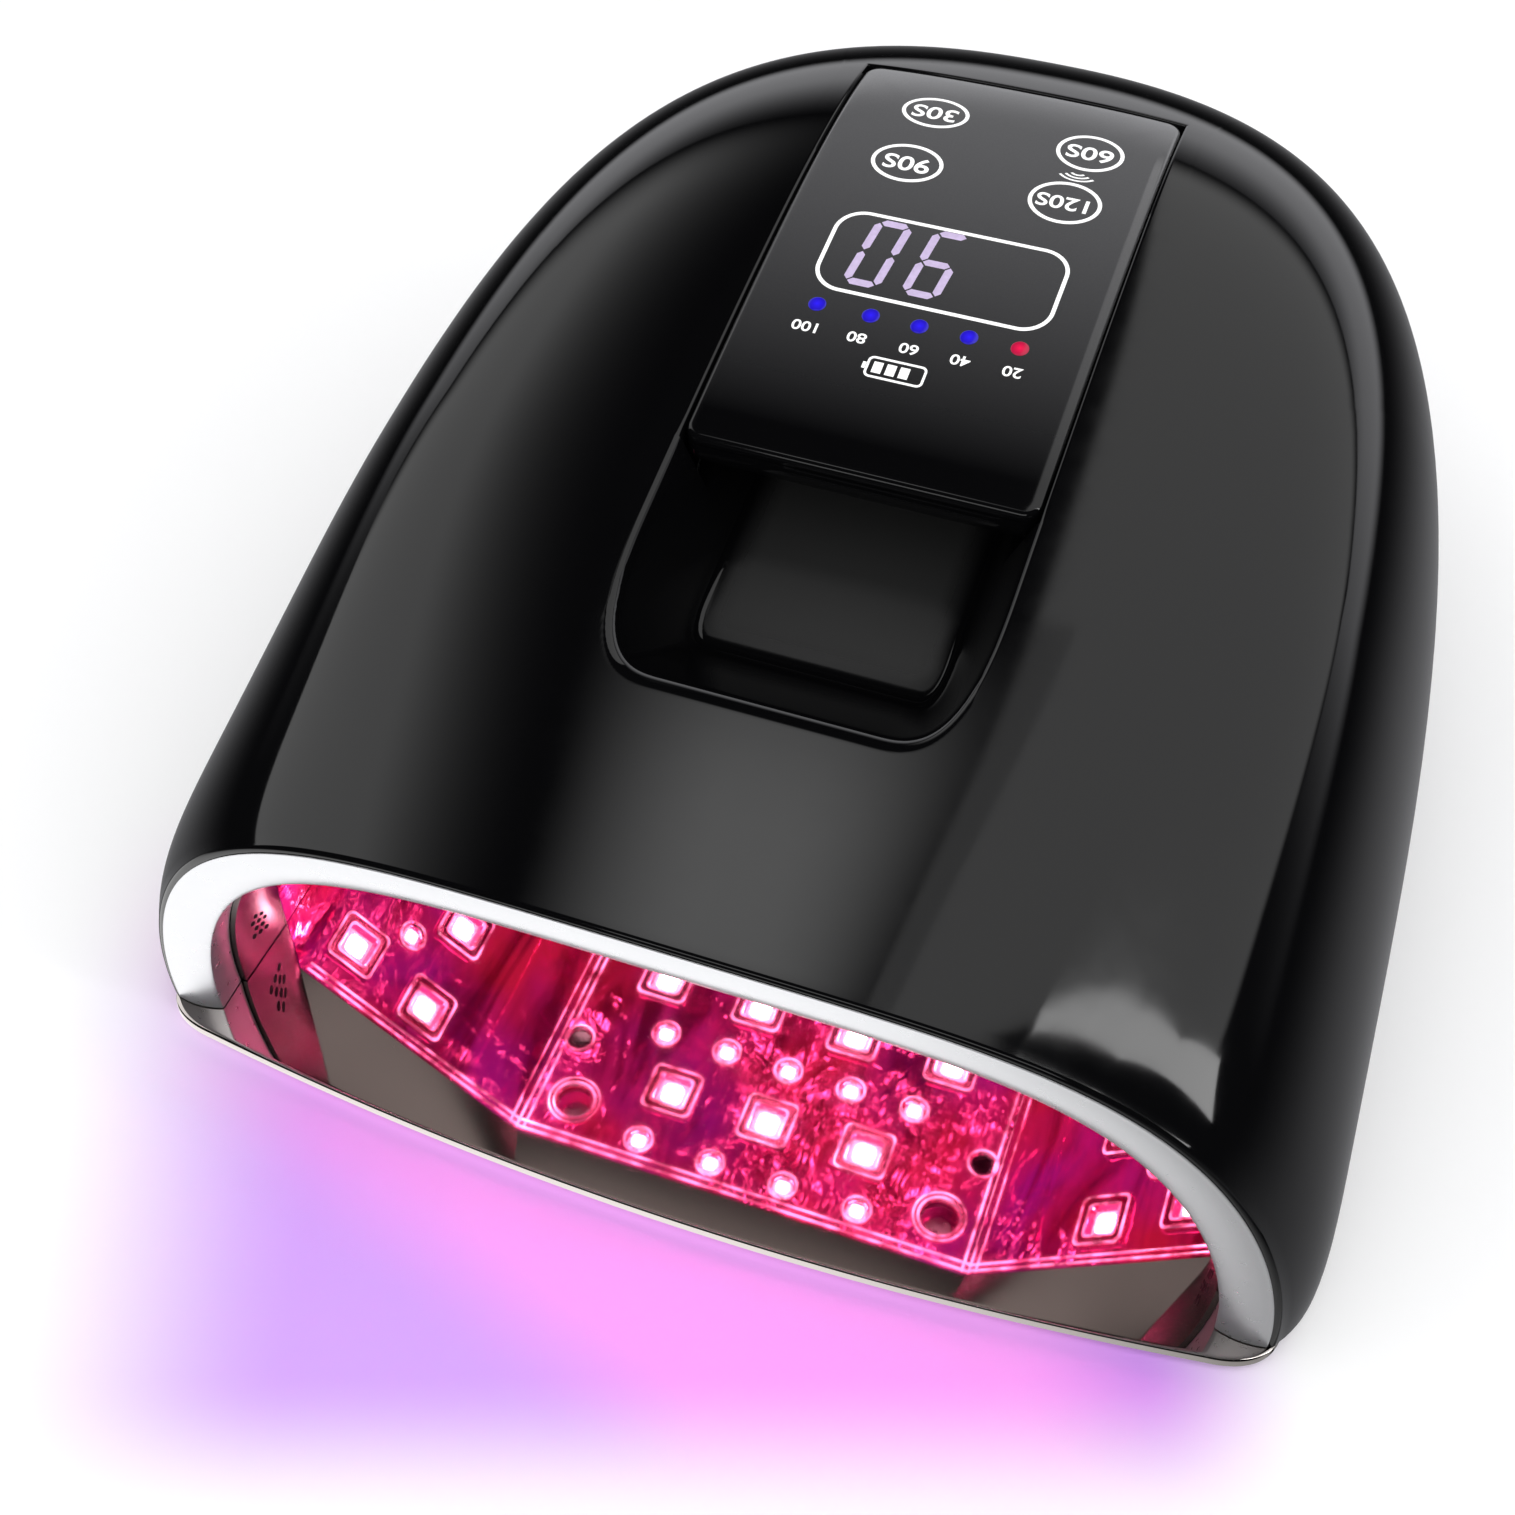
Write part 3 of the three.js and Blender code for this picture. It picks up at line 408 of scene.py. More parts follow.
# The slot's walls are upright, so its edge lines come twice: once on the roof and once at the bottom.
x_twice = np.sort(np.concatenate([x_lines, [-SLOT_HALF, SLOT_HALF]]))
y_twice = np.sort(np.concatenate([y_lines, [SLOT_FRONT, SLOT_REAR]]))


def inside_slot(lines, low, high):
    """True for the lines between low and high, counting only the inner one of each doubled edge line."""
    inner = (lines > low - 1e-6) & (lines < high + 1e-6)
    inner[np.argmax(inner)] = False
    inner[len(inner) - 1 - np.argmax(inner[::-1])] = False
    return inner


in_x = inside_slot(x_twice, -SLOT_HALF, SLOT_HALF)
in_y = inside_slot(y_twice, SLOT_FRONT, SLOT_REAR)
patch_x, patch_y = np.meshgrid(x_twice, y_twice)
depth = np.where(patch_y < SLOT_FRONT + 1e-6, scoop_depth(patch_x, patch_y), 0)
pocket = np.where(patch_y < -5, np.maximum(scoop_depth(patch_x, np.minimum(patch_y, -8)), SLOT_DEPTH),
                  SLOT_DEPTH)
pit = in_y[:, None] & in_x[None, :]
gap_x = np.clip((SLOT_HALF + ROUND_OVER - np.abs(patch_x)) / ROUND_OVER, 0, 1) * (patch_y > SLOT_FRONT)
gap_y = np.clip((SLOT_REAR + ROUND_OVER - patch_y) / ROUND_OVER, 0, 1)
gap_y = gap_y * (np.abs(patch_x) < SLOT_HALF + ROUND_OVER)
near = np.minimum(gap_x, np.where(patch_y > SLOT_REAR, gap_y, 1))
rolled = ROUND_OVER * (1 - np.sqrt(1 - near ** 2))
depth = np.where(pit, pocket, depth + rolled)
roof_patch = leaned(patch_x, patch_y, roof_height(patch_x, patch_y) - depth)

edge_x = np.concatenate([np.full(len(y_lines), PATCH_HALF), x_lines[::-1][1:-1],
                         np.full(len(y_lines), -PATCH_HALF)])
edge_y = np.concatenate([y_lines, np.full(len(x_lines) - 2, PATCH_REAR), y_lines[::-1]])
flanks = flank(edge_x, edge_y, 72)

# The two connectors sit in a flat-floored recess low on the rear, and pass through pits in it.
RECESS_SEAT, RECESS_HALF, RECESS_LOW, RECESS_HIGH = 126.9, 31.0, 13.0, 35.0
PITS = ((17.0, 9.0, 6.5), (-17.0, 5.0, 5.0))  # centre x, half-width and half-height
PIT_Z, PIT_DEPTH = 24, 9


def sunk(points):
    """Rear points drawn in to the recess floor inside its rectangle, and by PIT_DEPTH more inside each pit."""
    x, y, z = points[..., 0], points[..., 1], points[..., 2]
    edge = np.minimum(RECESS_HALF - np.abs(x), np.minimum(z - RECESS_LOW, RECESS_HIGH - z))
    inset = np.where(y > 60, smooth(edge / 0.5 + 0.5), 0)
    y = y + (np.minimum(y, RECESS_SEAT) - y) * inset
    for centre, half, tall in PITS:
        within = (np.abs(x - centre) < half) & (np.abs(z - PIT_Z) < tall) & (y > 60)
        y = np.where(within, RECESS_SEAT - PIT_DEPTH, y)
    return np.stack([x, y, z], -1)


def inner_face(points):
    """The wall's inner face: drawn in by WALL at the sides and roof, but kept clear of the slot's walls."""
    x, y, z = points[..., 0], points[..., 1], points[..., 2]
    side = np.interp(np.abs(x), [0, 30.5, SLOT_HALF, PATCH_HALF, 60, HALF_WIDTH], [0, 0, 1.6, 0.6, 0, -WALL])
    along = np.interp(y, [-125, 71, SLOT_REAR, PATCH_REAR, 100, REAR], [0, 0, 1.6, 0.6, 0, -WALL])
    return np.stack([x + np.sign(x) * side, y + along, z - WALL * smooth((z - SEAT) / 14)], -1)


flanks = sunk(flanks)
mouth_edge = np.concatenate([flanks[:, 0], roof_patch[0, ::-1][1:-1], flanks[::-1, -1]])
mouth_share = np.clip(np.abs(mouth_edge[:, 0]) / HALF_FRONT, 0, 1)


def mouth_line(inset, back):
    """The mouth's arch drawn in by inset and set back from the leaning mouth plane."""
    n, m = FRONT_POWERS
    z = (RIDGE[0][1] - inset) * (1 - mouth_share ** n) ** (1 / m)
    x = np.sign(mouth_edge[:, 0]) * (HALF_FRONT - inset) * mouth_share
    return np.stack([x, FRONT - LEAN * z + back, SEAT + z], -1)


# The mouth's edge is a half-round; the foot's edge is flat and rests just above the base plate.
turn = np.linspace(0, math.pi, 13)[1:]
rim = np.stack([mouth_edge] + [mouth_line(WALL / 2 * (1 - math.cos(a)), -0.9 * math.sin(a)) for a in turn]
               + [inner_face(mouth_edge)])
foot_edge = np.stack([flanks[0], inner_face(flanks[0])])
inner_rows = np.unique(np.linspace(0, len(flanks) - 1, 15).astype(int))
inner_flanks = inner_face(flanks[inner_rows])
nearest = np.abs(np.arange(len(flanks))[:, None] - inner_rows).argmin(axis=1)
mouth_seams = [np.stack([inner_face(flanks[:, end]), inner_flanks[nearest, next_to]])
               for end, next_to in ((0, 1), (-1, -2))]
shell_grids = [flanks, roof_patch, rim, foot_edge, *end_caps(rim), *mouth_seams, inner_flanks[:, 1:-1],
               inner_face(roof_patch)]


def uneven(tree, shader, socket, grain, low, high, detail=2.0):
    """Varies a shader socket from low to high by a noise of grain cells per metre: the varied value."""
    spot = wire(tree, "ShaderNodeTexCoord").outputs["Object"]
    noise = wire(tree, "ShaderNodeTexNoise", {"Vector": spot, "Scale": grain, "Detail": detail})
    level = wire(tree, "ShaderNodeMapRange", {"Value": noise.outputs[0], "To Min": low, "To Max": high})
    tree.links.new(level.outputs[0], shader.inputs[socket])
    return level.outputs[0]


# High-gloss black ABS from a polished mould: sharp mirrored bands with a faint unevenness. The
# scoop's floor is spark-eroded in the mould, a satin finger rest; its greyer colour is a painted
# reflection of the soft light on it.
gloss_black, tree, shader = material("gloss_black_ABS", Base_Color=linear("060607"), Roughness=0.06, IOR=1.5)
gloss = uneven(tree, shader, "Roughness", 260.0, 0.035, 0.075, 3.0)
spot = wire(tree, "ShaderNodeTexCoord").outputs["Object"]
place = wire(tree, "ShaderNodeSeparateXYZ", {0: spot}).outputs
beside = wire(tree, "ShaderNodeMath", {0: place[0]}, operation="ABSOLUTE").outputs[0]
REST_EDGES = ((beside, 0.0215, 0.0165), (place[1], -0.0545, -0.0490), (place[2], 0.0800, 0.0785))
masks = [wire(tree, "ShaderNodeMapRange", {"Value": value, "From Min": low, "From Max": high}).outputs[0]
         for value, low, high in REST_EDGES]
floor_mask = wire(tree, "ShaderNodeMath", {0: masks[0], 1: masks[1]}, operation="MULTIPLY").outputs[0]
floor_mask = wire(tree, "ShaderNodeMath", {0: floor_mask, 1: masks[2]}, operation="MULTIPLY").outputs[0]
satin_rest = wire(tree, "ShaderNodeMix", {0: floor_mask, 2: gloss, 3: 0.42})
tree.links.new(satin_rest.outputs[0], shader.inputs["Roughness"])
# Painted reflection: the scoop floor's colour is lifted to grey for the soft light it shows.
rest_painted_reflection = wire(tree, "ShaderNodeMix", {0: floor_mask, 6: linear("060607"), 7: linear("262626")},
                   data_type="RGBA")
tree.links.new(rest_painted_reflection.outputs[2], shader.inputs["Base Color"])
shell = skin("shell_moulding", shell_grids, gloss_black)
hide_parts("top_shell", "handle_cup")

# ---- Silver arch ----
# A satin chrome plated ABS ring pressed into the mouth. Its crowned face ends in a flange that
# laps the shell's rim, and its inner edge returns into the cavity, where the hood starts. The two
# sizes are half-width and height.
TRIM_FLANGE = (101.5, 69.9)
TRIM_INNER = (92.6, 62.6)
TRIM_DEPTH = 6.0


def arch(u, half_width, height, back):
    """Arch point for u from -1, the left foot, over the top to 1, set back from the mouth plane."""
    n, m = FRONT_POWERS
    bend = math.pi / 2 * (1 - np.abs(u) ** (n / 2))
    z = height * np.sin(bend) ** (2 / m)
    x = np.sign(u) * half_width * np.cos(bend) ** (2 / n)
    return np.stack([x, FRONT - LEAN * z + back, SEAT + z], -1)


arch_u = np.linspace(-1, 1, 241)


def across_trim(share, back):
    """A line of the ring: share 0 at its inner edge, 1 at the flange's outer edge, set back."""
    size = [a + (b - a) * share for a, b in zip(TRIM_INNER, TRIM_FLANGE)]
    return arch(arch_u, *size, back)


face = [(w, -0.6 - 0.45 * w - 0.7 * (1 - (2 * w - 1) ** 2)) for w in np.linspace(0.03, 0.95, 17)]
profile = [(0.0, TRIM_DEPTH), (0.0, 0.0), (0.005, -0.5), *face, (0.985, -1.15), (1.0, -1.05),
           (1.0, -0.98), (0.77, -0.98), (0.77, TRIM_DEPTH), (0.0, TRIM_DEPTH)]
ring = np.stack([across_trim(*row) for row in profile])
satin_chrome, tree, shader = material("satin_chrome_plate", Base_Color=linear("d9dadc"), Metallic=0.85,
                                      Roughness=0.28)
uneven(tree, shader, "Roughness", 420.0, 0.24, 0.34)
trim = skin("trim_arch", [ring, *end_caps(ring)], satin_chrome)
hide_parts("front_trim")

# ---- Base plate ----
# 2 mm polished stainless sheet, laser cut to the lamp's outline with a bowed front edge that
# runs out past the mouth, and its edges broken.
PLATE_LOW, PLATE_HIGH, PLATE_INSET, PLATE_EDGE = 1.2, 3.2, 0.8, 0.35
PLATE_SHARE, PLATE_END = 0.42, 0.97


def plate_outline(count):
    """Closed outline: the dome's superellipse foot drawn in, then the front edge as three quadratic
    curves, a rounded corner, the bow and the other corner."""
    t = np.linspace(-PLATE_END, PLATE_END, count)
    q = np.abs(t)
    angle = math.pi / 2 * (1 - np.clip(q / PLATE_SHARE, 0, 1))
    wide, deep = HALF_WIDTH - PLATE_INSET, REAR - PLATE_INSET - ARC_START
    round_x = wide * np.cos(angle) ** (2 / PLAN_POWERS[0])
    round_y = ARC_START + deep * np.sin(angle) ** (2 / PLAN_POWERS[1])
    side_y = ARC_START + (FRONT - ARC_START) * (q - PLATE_SHARE) / (1 - PLATE_SHARE)
    y = np.where(q > PLATE_SHARE, side_y, round_y)
    x = np.where(q > PLATE_SHARE, side_width(np.minimum(y, ARC_START)) - PLATE_INSET, round_x)
    body = np.stack([np.sign(t) * x, y], -1)
    corner_x, corner_y = body[-1]
    knots = [((corner_x, corner_y), (corner_x - 1, -118.6), (corner_x - 11, -119.6)),
             ((corner_x - 11, -119.6), (0, -132.8), (11 - corner_x, -119.6)),
             ((11 - corner_x, -119.6), (1 - corner_x, -118.6), (-corner_x, corner_y))]
    front = []
    for a, b, c in knots:
        u = np.linspace(0, 1, 61)[1:, None]
        front.append((1 - u) ** 2 * np.array(a) + 2 * u * (1 - u) * np.array(b) + u ** 2 * np.array(c))
    return np.concatenate([body, *front])


def drawn_in(loop, by):
    """A closed plan outline moved in along its own normal."""
    along = np.roll(loop, -1, 0) - np.roll(loop, 1, 0)
    along[0] = along[-1] = loop[1] - loop[-2]
    normal = np.stack([-along[:, 1], along[:, 0]], -1) / np.linalg.norm(along, axis=1)[:, None]
    inward = np.sign((normal * -loop).sum(1).mean())
    return loop + normal * inward * by


plate_edge = plate_outline(420)
rows = [np.zeros_like(plate_edge)]
heights = [PLATE_LOW]
for inset, z in ((1.0, PLATE_LOW), (PLATE_EDGE, PLATE_LOW), (0.0, PLATE_LOW + PLATE_EDGE),
                 (0.0, PLATE_HIGH - PLATE_EDGE), (0.1, PLATE_HIGH - 0.1), (PLATE_EDGE, PLATE_HIGH),
                 (1.0, PLATE_HIGH)):
    rows.append(drawn_in(plate_edge, inset))
    heights.append(z)
rows.append(np.zeros_like(plate_edge))
heights.append(PLATE_HIGH)
plate_grid = np.stack([np.concatenate([r, np.full((len(r), 1), z)], 1) for r, z in zip(rows, heights)])
mirror_steel, tree, shader = material("polished_stainless_sheet", Base_Color=linear("cdc6c2"), Metallic=1.0,
                                      Roughness=0.03)
spot = wire(tree, "ShaderNodeTexCoord").outputs["Object"]
rolled_lines = wire(tree, "ShaderNodeMapping", {"Vector": spot, "Scale": (1.0, 30.0, 1.0)})
streak = wire(tree, "ShaderNodeTexNoise", {"Vector": rolled_lines.outputs[0], "Scale": 24.0, "Detail": 4.0})
level = wire(tree, "ShaderNodeMapRange", {"Value": streak.outputs[0], "To Min": 0.02, "To Max": 0.06})
tree.links.new(level.outputs[0], shader.inputs["Roughness"])
steel_plate = skin("steel_plate", [plate_grid], mirror_steel, body="base", sharp=25)
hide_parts("base_plate")

# ---- Handle deck ----
# The bar of the handle: a gloss black ABS tray under the lens, its front drawn back in a soft
# curve so that fingers can hook under it.
DECK_HALF, DECK_FRONT, DECK_REAR, DECK_WALL, DECK_DEPTH = 31.3, -31.0, 72.0, 1.6, 11.5
LENS, SUNK = 1.6, 0.12  # thickness, and how far its face lies below the roof
CORNER = 3.2
NOSE = 15.0  # how far the underside is drawn back


def rounded(half, front, rear, radius, count=14, straight=26):
    """Closed rounded rectangle: each side evenly divided, each corner a quarter circle."""
    side = np.linspace(0, 1, straight)[:, None]
    quarter = np.linspace(0, math.pi / 2, count)
    corners = [(half - radius, rear - radius, 0), (radius - half, rear - radius, 1),
               (radius - half, front + radius, 2), (half - radius, front + radius, 3)]
    arcs = []
    for cx, cy, k in corners:
        angle = quarter + k * math.pi / 2
        arcs.append(np.stack([cx + radius * np.cos(angle), cy + radius * np.sin(angle)], -1))
    pieces = []
    for k in range(4):
        start, stop = arcs[k][-1], arcs[(k + 1) % 4][0]
        pieces += [arcs[k][:-1], start + (stop - start) * side[:-1]]
    loop = np.concatenate(pieces)
    return np.concatenate([loop, loop[:1]])


def on_roof(loop, depth):
    """A plan loop laid on the roof and sunk by depth."""
    z = SEAT + roof_height(loop[..., 0], loop[..., 1]) - depth
    return np.concatenate([loop, z[..., None]], -1)


def deck_ring(inset, front_inset, depth, radius=CORNER):
    """One ring of the deck: drawn in at the sides and rear by inset, at the front by front_inset."""
    loop = rounded(DECK_HALF - inset, DECK_FRONT + front_inset, DECK_REAR - inset, max(radius - inset, 0.2))
    return on_roof(loop, depth)


def closing(depth, front_inset=0.0, steps=10, start=0.0):
    """Rings that run in from the edge to the middle line, which close a slab that follows the roof."""
    insets = np.linspace(start, DECK_HALF - 0.3, steps + 1)[1:]
    rings = [deck_ring(i, front_inset + i, depth, CORNER) for i in insets]
    last = rings[-1][:, :2] * (0, 1)
    return rings + [on_roof(last, depth)]


NOSE_TOP, NOSE_STEPS = 3.2, 14  # where the curve starts, and its rings
nose = [(0.0, NOSE * (1 - math.sqrt(1 - (k / NOSE_STEPS) ** 2)),
         NOSE_TOP + (DECK_DEPTH - NOSE_TOP) * k / NOSE_STEPS) for k in range(NOSE_STEPS)]
tray_rings = (closing(DECK_DEPTH - DECK_WALL, NOSE + 3.0, 6, DECK_WALL)[::-1]
              + [deck_ring(DECK_WALL, NOSE + 3.0 + DECK_WALL, DECK_DEPTH - DECK_WALL),
                 deck_ring(DECK_WALL, 8.0, LENS + 0.3), deck_ring(0.0, 0.0, LENS + 0.3)]
              + [deck_ring(*row) for row in nose] + [deck_ring(0.0, NOSE, DECK_DEPTH)]
              + closing(DECK_DEPTH, NOSE, 6))
deck = skin("handle_deck", [np.stack(tray_rings)], gloss_black)
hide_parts("control_deck")

# ---- Timer panel ----
# A 1.6 mm acrylic lens, back-printed, with its edge rolled and polished; its colour runs from graphite
# at the rear to black at the front, a painted reflection. It lies a hair below the roof.
edge_roll = [(0.0, LENS), (0.0, 0.9)] + [(0.9 * (1 - math.cos(a)), 0.9 * (1 - math.sin(a)) + SUNK)
                                        for a in np.linspace(0.2, math.pi / 2, 8)]
lens_rings = (closing(LENS, 0.0, 4)[::-1] + [deck_ring(i, i, d) for i, d in edge_roll]
              + closing(SUNK, 0.0, 20, 0.9))
panel_paint, tree, shader = material("back_printed_acrylic_painted_reflection", Roughness=0.07, IOR=1.49)
spot = wire(tree, "ShaderNodeTexCoord").outputs["Object"]
along = wire(tree, "ShaderNodeSeparateXYZ", {0: spot})
# Painted reflection: the lens grades from black at the front to graphite grey at the rear.
painted_reflection_grade = wire(tree, "ShaderNodeMapRange", {"Value": along.outputs[1], "From Min": -0.027, "From Max": 0.072})
ramp = wire(tree, "ShaderNodeMix", {0: painted_reflection_grade.outputs[0], 6: linear("060607"), 7: linear("646466")},
            data_type="RGBA")
fleck = wire(tree, "ShaderNodeTexNoise", {"Vector": spot, "Scale": 3500.0, "Detail": 1.0})
spread = wire(tree, "ShaderNodeMapRange", {"Value": fleck.outputs[0], "To Min": 0.9, "To Max": 1.1})
mixed = wire(tree, "ShaderNodeMix", {0: 1.0, 6: ramp.outputs[2], 7: spread.outputs[0]}, data_type="RGBA",
             blend_type="MULTIPLY")
tree.links.new(mixed.outputs[2], shader.inputs["Base Color"])
panel = skin("panel_lens", [np.stack(lens_rings)], panel_paint)
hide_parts("control_panel")

# ---- Panel printing ----
# White screen print: four timer keys with their seconds in ovals, the frame of the display, the
# scale of the charge gauge, a battery sign and a sign for the automatic mode. It reads from the
# rear, so its right is -X and its top -Y.
INK, FILM = 0.04, 0.03  # height of the print over the lens, and its thickness
KEYS = (("30S", -13.7, 57.9, 12.3, 9.2), ("90S", -14.2, 41.3, 12.9, 10.0),
        ("60S", 17.2, 54.7, 12.0, 10.5), ("120S", 16.4, 39.2, 12.8, 10.7))
SCALE_MARKS = (("100", -18.6), ("80", -9.3), ("60", 0.2), ("40", 9.4), ("20", 18.7))
# The print's faint white emission is painted light: screen print does not glow.
white_ink, tree, shader = material("white_screen_print_painted_glow", Base_Color=linear("f2f2f2"), Roughness=0.45,
                                   Emission_Color=linear("ffffff"), Emission_Strength=0.25)
uneven(tree, shader, "Roughness", 1800.0, 0.38, 0.52)


def laid(points, lift=INK):
    """Flat plan points laid on the lens, lift above it."""
    return on_roof(points, SUNK - lift)


def film(face, open_ended=False):
    """A printed film's closed sheet: its face (two lines of points), and the same lines FILM below."""
    below = face[::-1] - (0, 0, FILM)
    sheet = np.concatenate([face, below, face[:1]])
    return [sheet, *end_caps(sheet)] if open_ended else [sheet]


def line_round(loop, width):
    """A printed line along a closed loop: its outline pushed out and in by half the width."""
    along = np.roll(loop[:-1], -1, 0) - np.roll(loop[:-1], 1, 0)
    normal = np.stack([along[:, 1], -along[:, 0]], -1) / np.linalg.norm(along, axis=1)[:, None]
    normal = np.concatenate([normal, normal[:1]])
    return np.stack([laid(loop + normal * width / 2), laid(loop - normal * width / 2)])


def oval(cx, cy, wide, tall):
    """Closed ellipse about (cx, cy)."""
    a = np.linspace(0, 2 * math.pi, 97)
    return np.stack([cx + wide / 2 * np.cos(a), cy + tall / 2 * np.sin(a)], -1)


def frame_loop(x0, x1, y0, y1, radius):
    """Closed rounded rectangle from x0 to x1 and y0 to y1."""
    return rounded((x1 - x0) / 2, y0, y1, radius) + (((x0 + x1) / 2), 0)


def lettering(name, text, cx, cy, size, wide=1.0):
    """Screen-printed characters, centred and turned to read from the rear, laid on the lens."""
    curve = bpy.data.curves.new(name, "FONT")
    curve.body = text
    curve.size = 1.0
    curve.offset = 0.015
    curve.extrude = 0.01
    curve.align_x, curve.align_y = "CENTER", "CENTER"
    holder = bpy.data.objects.new(name, curve)
    bpy.context.scene.collection.objects.link(holder)
    bpy.context.view_layer.update()
    mesh = bpy.data.meshes.new_from_object(holder.evaluated_get(bpy.context.evaluated_depsgraph_get()))
    bpy.data.objects.remove(holder)
    flat = np.empty(len(mesh.vertices) * 3, np.float32)
    mesh.vertices.foreach_get("co", flat)
    flat = flat.reshape(-1, 3).astype(float)
    place = laid(np.stack([cx - flat[:, 0] * size * wide, cy - flat[:, 1] * size], -1))
    place[:, 2] -= np.where(flat[:, 2] < 0, FILM, 0.0)
    mesh.vertices.foreach_set("co", ((place - (0, SHIFT_Y, 0)) / 1000).astype(np.float32).ravel())
    mesh.update()
    work = bmesh.new()
    work.from_mesh(mesh)
    bmesh.ops.remove_doubles(work, verts=work.verts, dist=1e-6)
    bmesh.ops.recalc_face_normals(work, faces=work.faces)
    work.to_mesh(mesh)
    work.free()
    mesh.materials.clear()
    mesh.materials.append(white_ink)
    mesh.name = name
    made = bpy.data.objects.new(name, mesh)
    bpy.context.scene.collection.objects.link(made)
    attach(made, "housing")


LINE, FINE_LINE = 0.75, 0.45
DISPLAY_FRAME, BATTERY_FRAME = (-21.3, 21.7, 6.5, 26.0, 5.2), (-5.6, 4.6, -10.6, -6.4, 0.9)
lines = [line_round(oval(x, y, wide, tall), LINE) for _, x, y, wide, tall in KEYS]
lines.append(line_round(frame_loop(*DISPLAY_FRAME), LINE))
lines.append(line_round(frame_loop(*BATTERY_FRAME), FINE_LINE))
BAR_WIDE, BAR_ROWS, NUB_ROWS = 1.7, (-9.7, -7.3), (-9.2, -7.8)
bars = [np.stack([laid(np.array([[x, y], [x + BAR_WIDE, y]])) for y in BAR_ROWS]) for x in (-4.6, -2.2, 0.2)]
nub = np.stack([laid(np.array([[-6.5, y], [-5.9, y]])) for y in NUB_ROWS])
films = [part for face in lines for part in film(face)]
films += [part for face in bars + [nub] for part in film(face, True)]
skin("printed_lines", films, white_ink)
for k, (text, x, y, wide, tall) in enumerate(KEYS):
    lettering(f"key_print_{k + 1}", text, x, y, 5.6 if len(text) < 4 else 4.9, 1.12)
for k, (text, x) in enumerate(SCALE_MARKS):
    lettering(f"gauge_print_{k + 1}", text, x, -3.0, 3.1, 1.15)

# The automatic mode's sign: three nested arcs, a little flattened.
SIGN_X, SIGN_Y, SIGN_FLAT = 16.6, 48.4, 0.7
sign = []
for r in (1.4, 2.6, 3.8):
    a = np.linspace(math.radians(215), math.radians(325), 25)
    edges = [np.stack([SIGN_X + wide * np.cos(a), SIGN_Y + wide * np.sin(a) * SIGN_FLAT], -1)
             for wide in (r + 0.25, r - 0.25)]
    sign += film(np.stack([laid(line) for line in edges]), True)
skin("mode_sign", sign, white_ink)

# ---- Display digits ----
# Two seven-segment figures shining through the lens, reading 90 from the rear: lilac-white LED
# segments with mitred ends, slanted as such displays are.
DIGIT_WIDE, DIGIT_TALL, STROKE, SLANT = 7.0, 16.8, 1.5, 0.10
DIGITS = ((-11.9, 16.8, "abcdef"), (-1.1, 17.1, "abcdfg"))  # centre and lit segments
SEGMENTS = {"a": (-1, 1, 1, 1), "g": (-1, 0, 1, 0), "d": (-1, -1, 1, -1),
            "f": (-1, 0, -1, 1), "b": (1, 0, 1, 1), "e": (-1, -1, -1, 0), "c": (1, -1, 1, 0)}
lit_segment, tree, shader = material("lit_display_segment", Base_Color=linear("2c2433"), Roughness=0.4,
                                     Emission_Color=linear("dccaf0"), Emission_Strength=0.9)
uneven(tree, shader, "Emission Strength", 900.0, 0.7, 1.05)
segments = []
for cx, cy, lit in DIGITS:
    for key in lit:
        x0, y0, x1, y1 = SEGMENTS[key]
        start = np.array([x0 * (DIGIT_WIDE - STROKE) / 2, y0 * (DIGIT_TALL - STROKE) / 2])
        stop = np.array([x1 * (DIGIT_WIDE - STROKE) / 2, y1 * (DIGIT_TALL - STROKE) / 2])
        way = (stop - start) / np.linalg.norm(stop - start)
        start, stop = start + way * 0.25, stop - way * 0.25
        side = np.array([-way[1], way[0]]) * STROKE / 2
        spine = [start, start + way * STROKE / 2, stop - way * STROKE / 2, stop]
        spread = [0, 1, 1, 0]
        flat = np.array([[p + sign * side * w for p, w in zip(spine, spread)] for sign in (1, -1)])
        flat = np.stack([cx - (flat[..., 0] + SLANT * flat[..., 1]), cy - flat[..., 1]], -1)
        segments += film(laid(flat, INK))
skin("display_digits", segments, lit_segment)

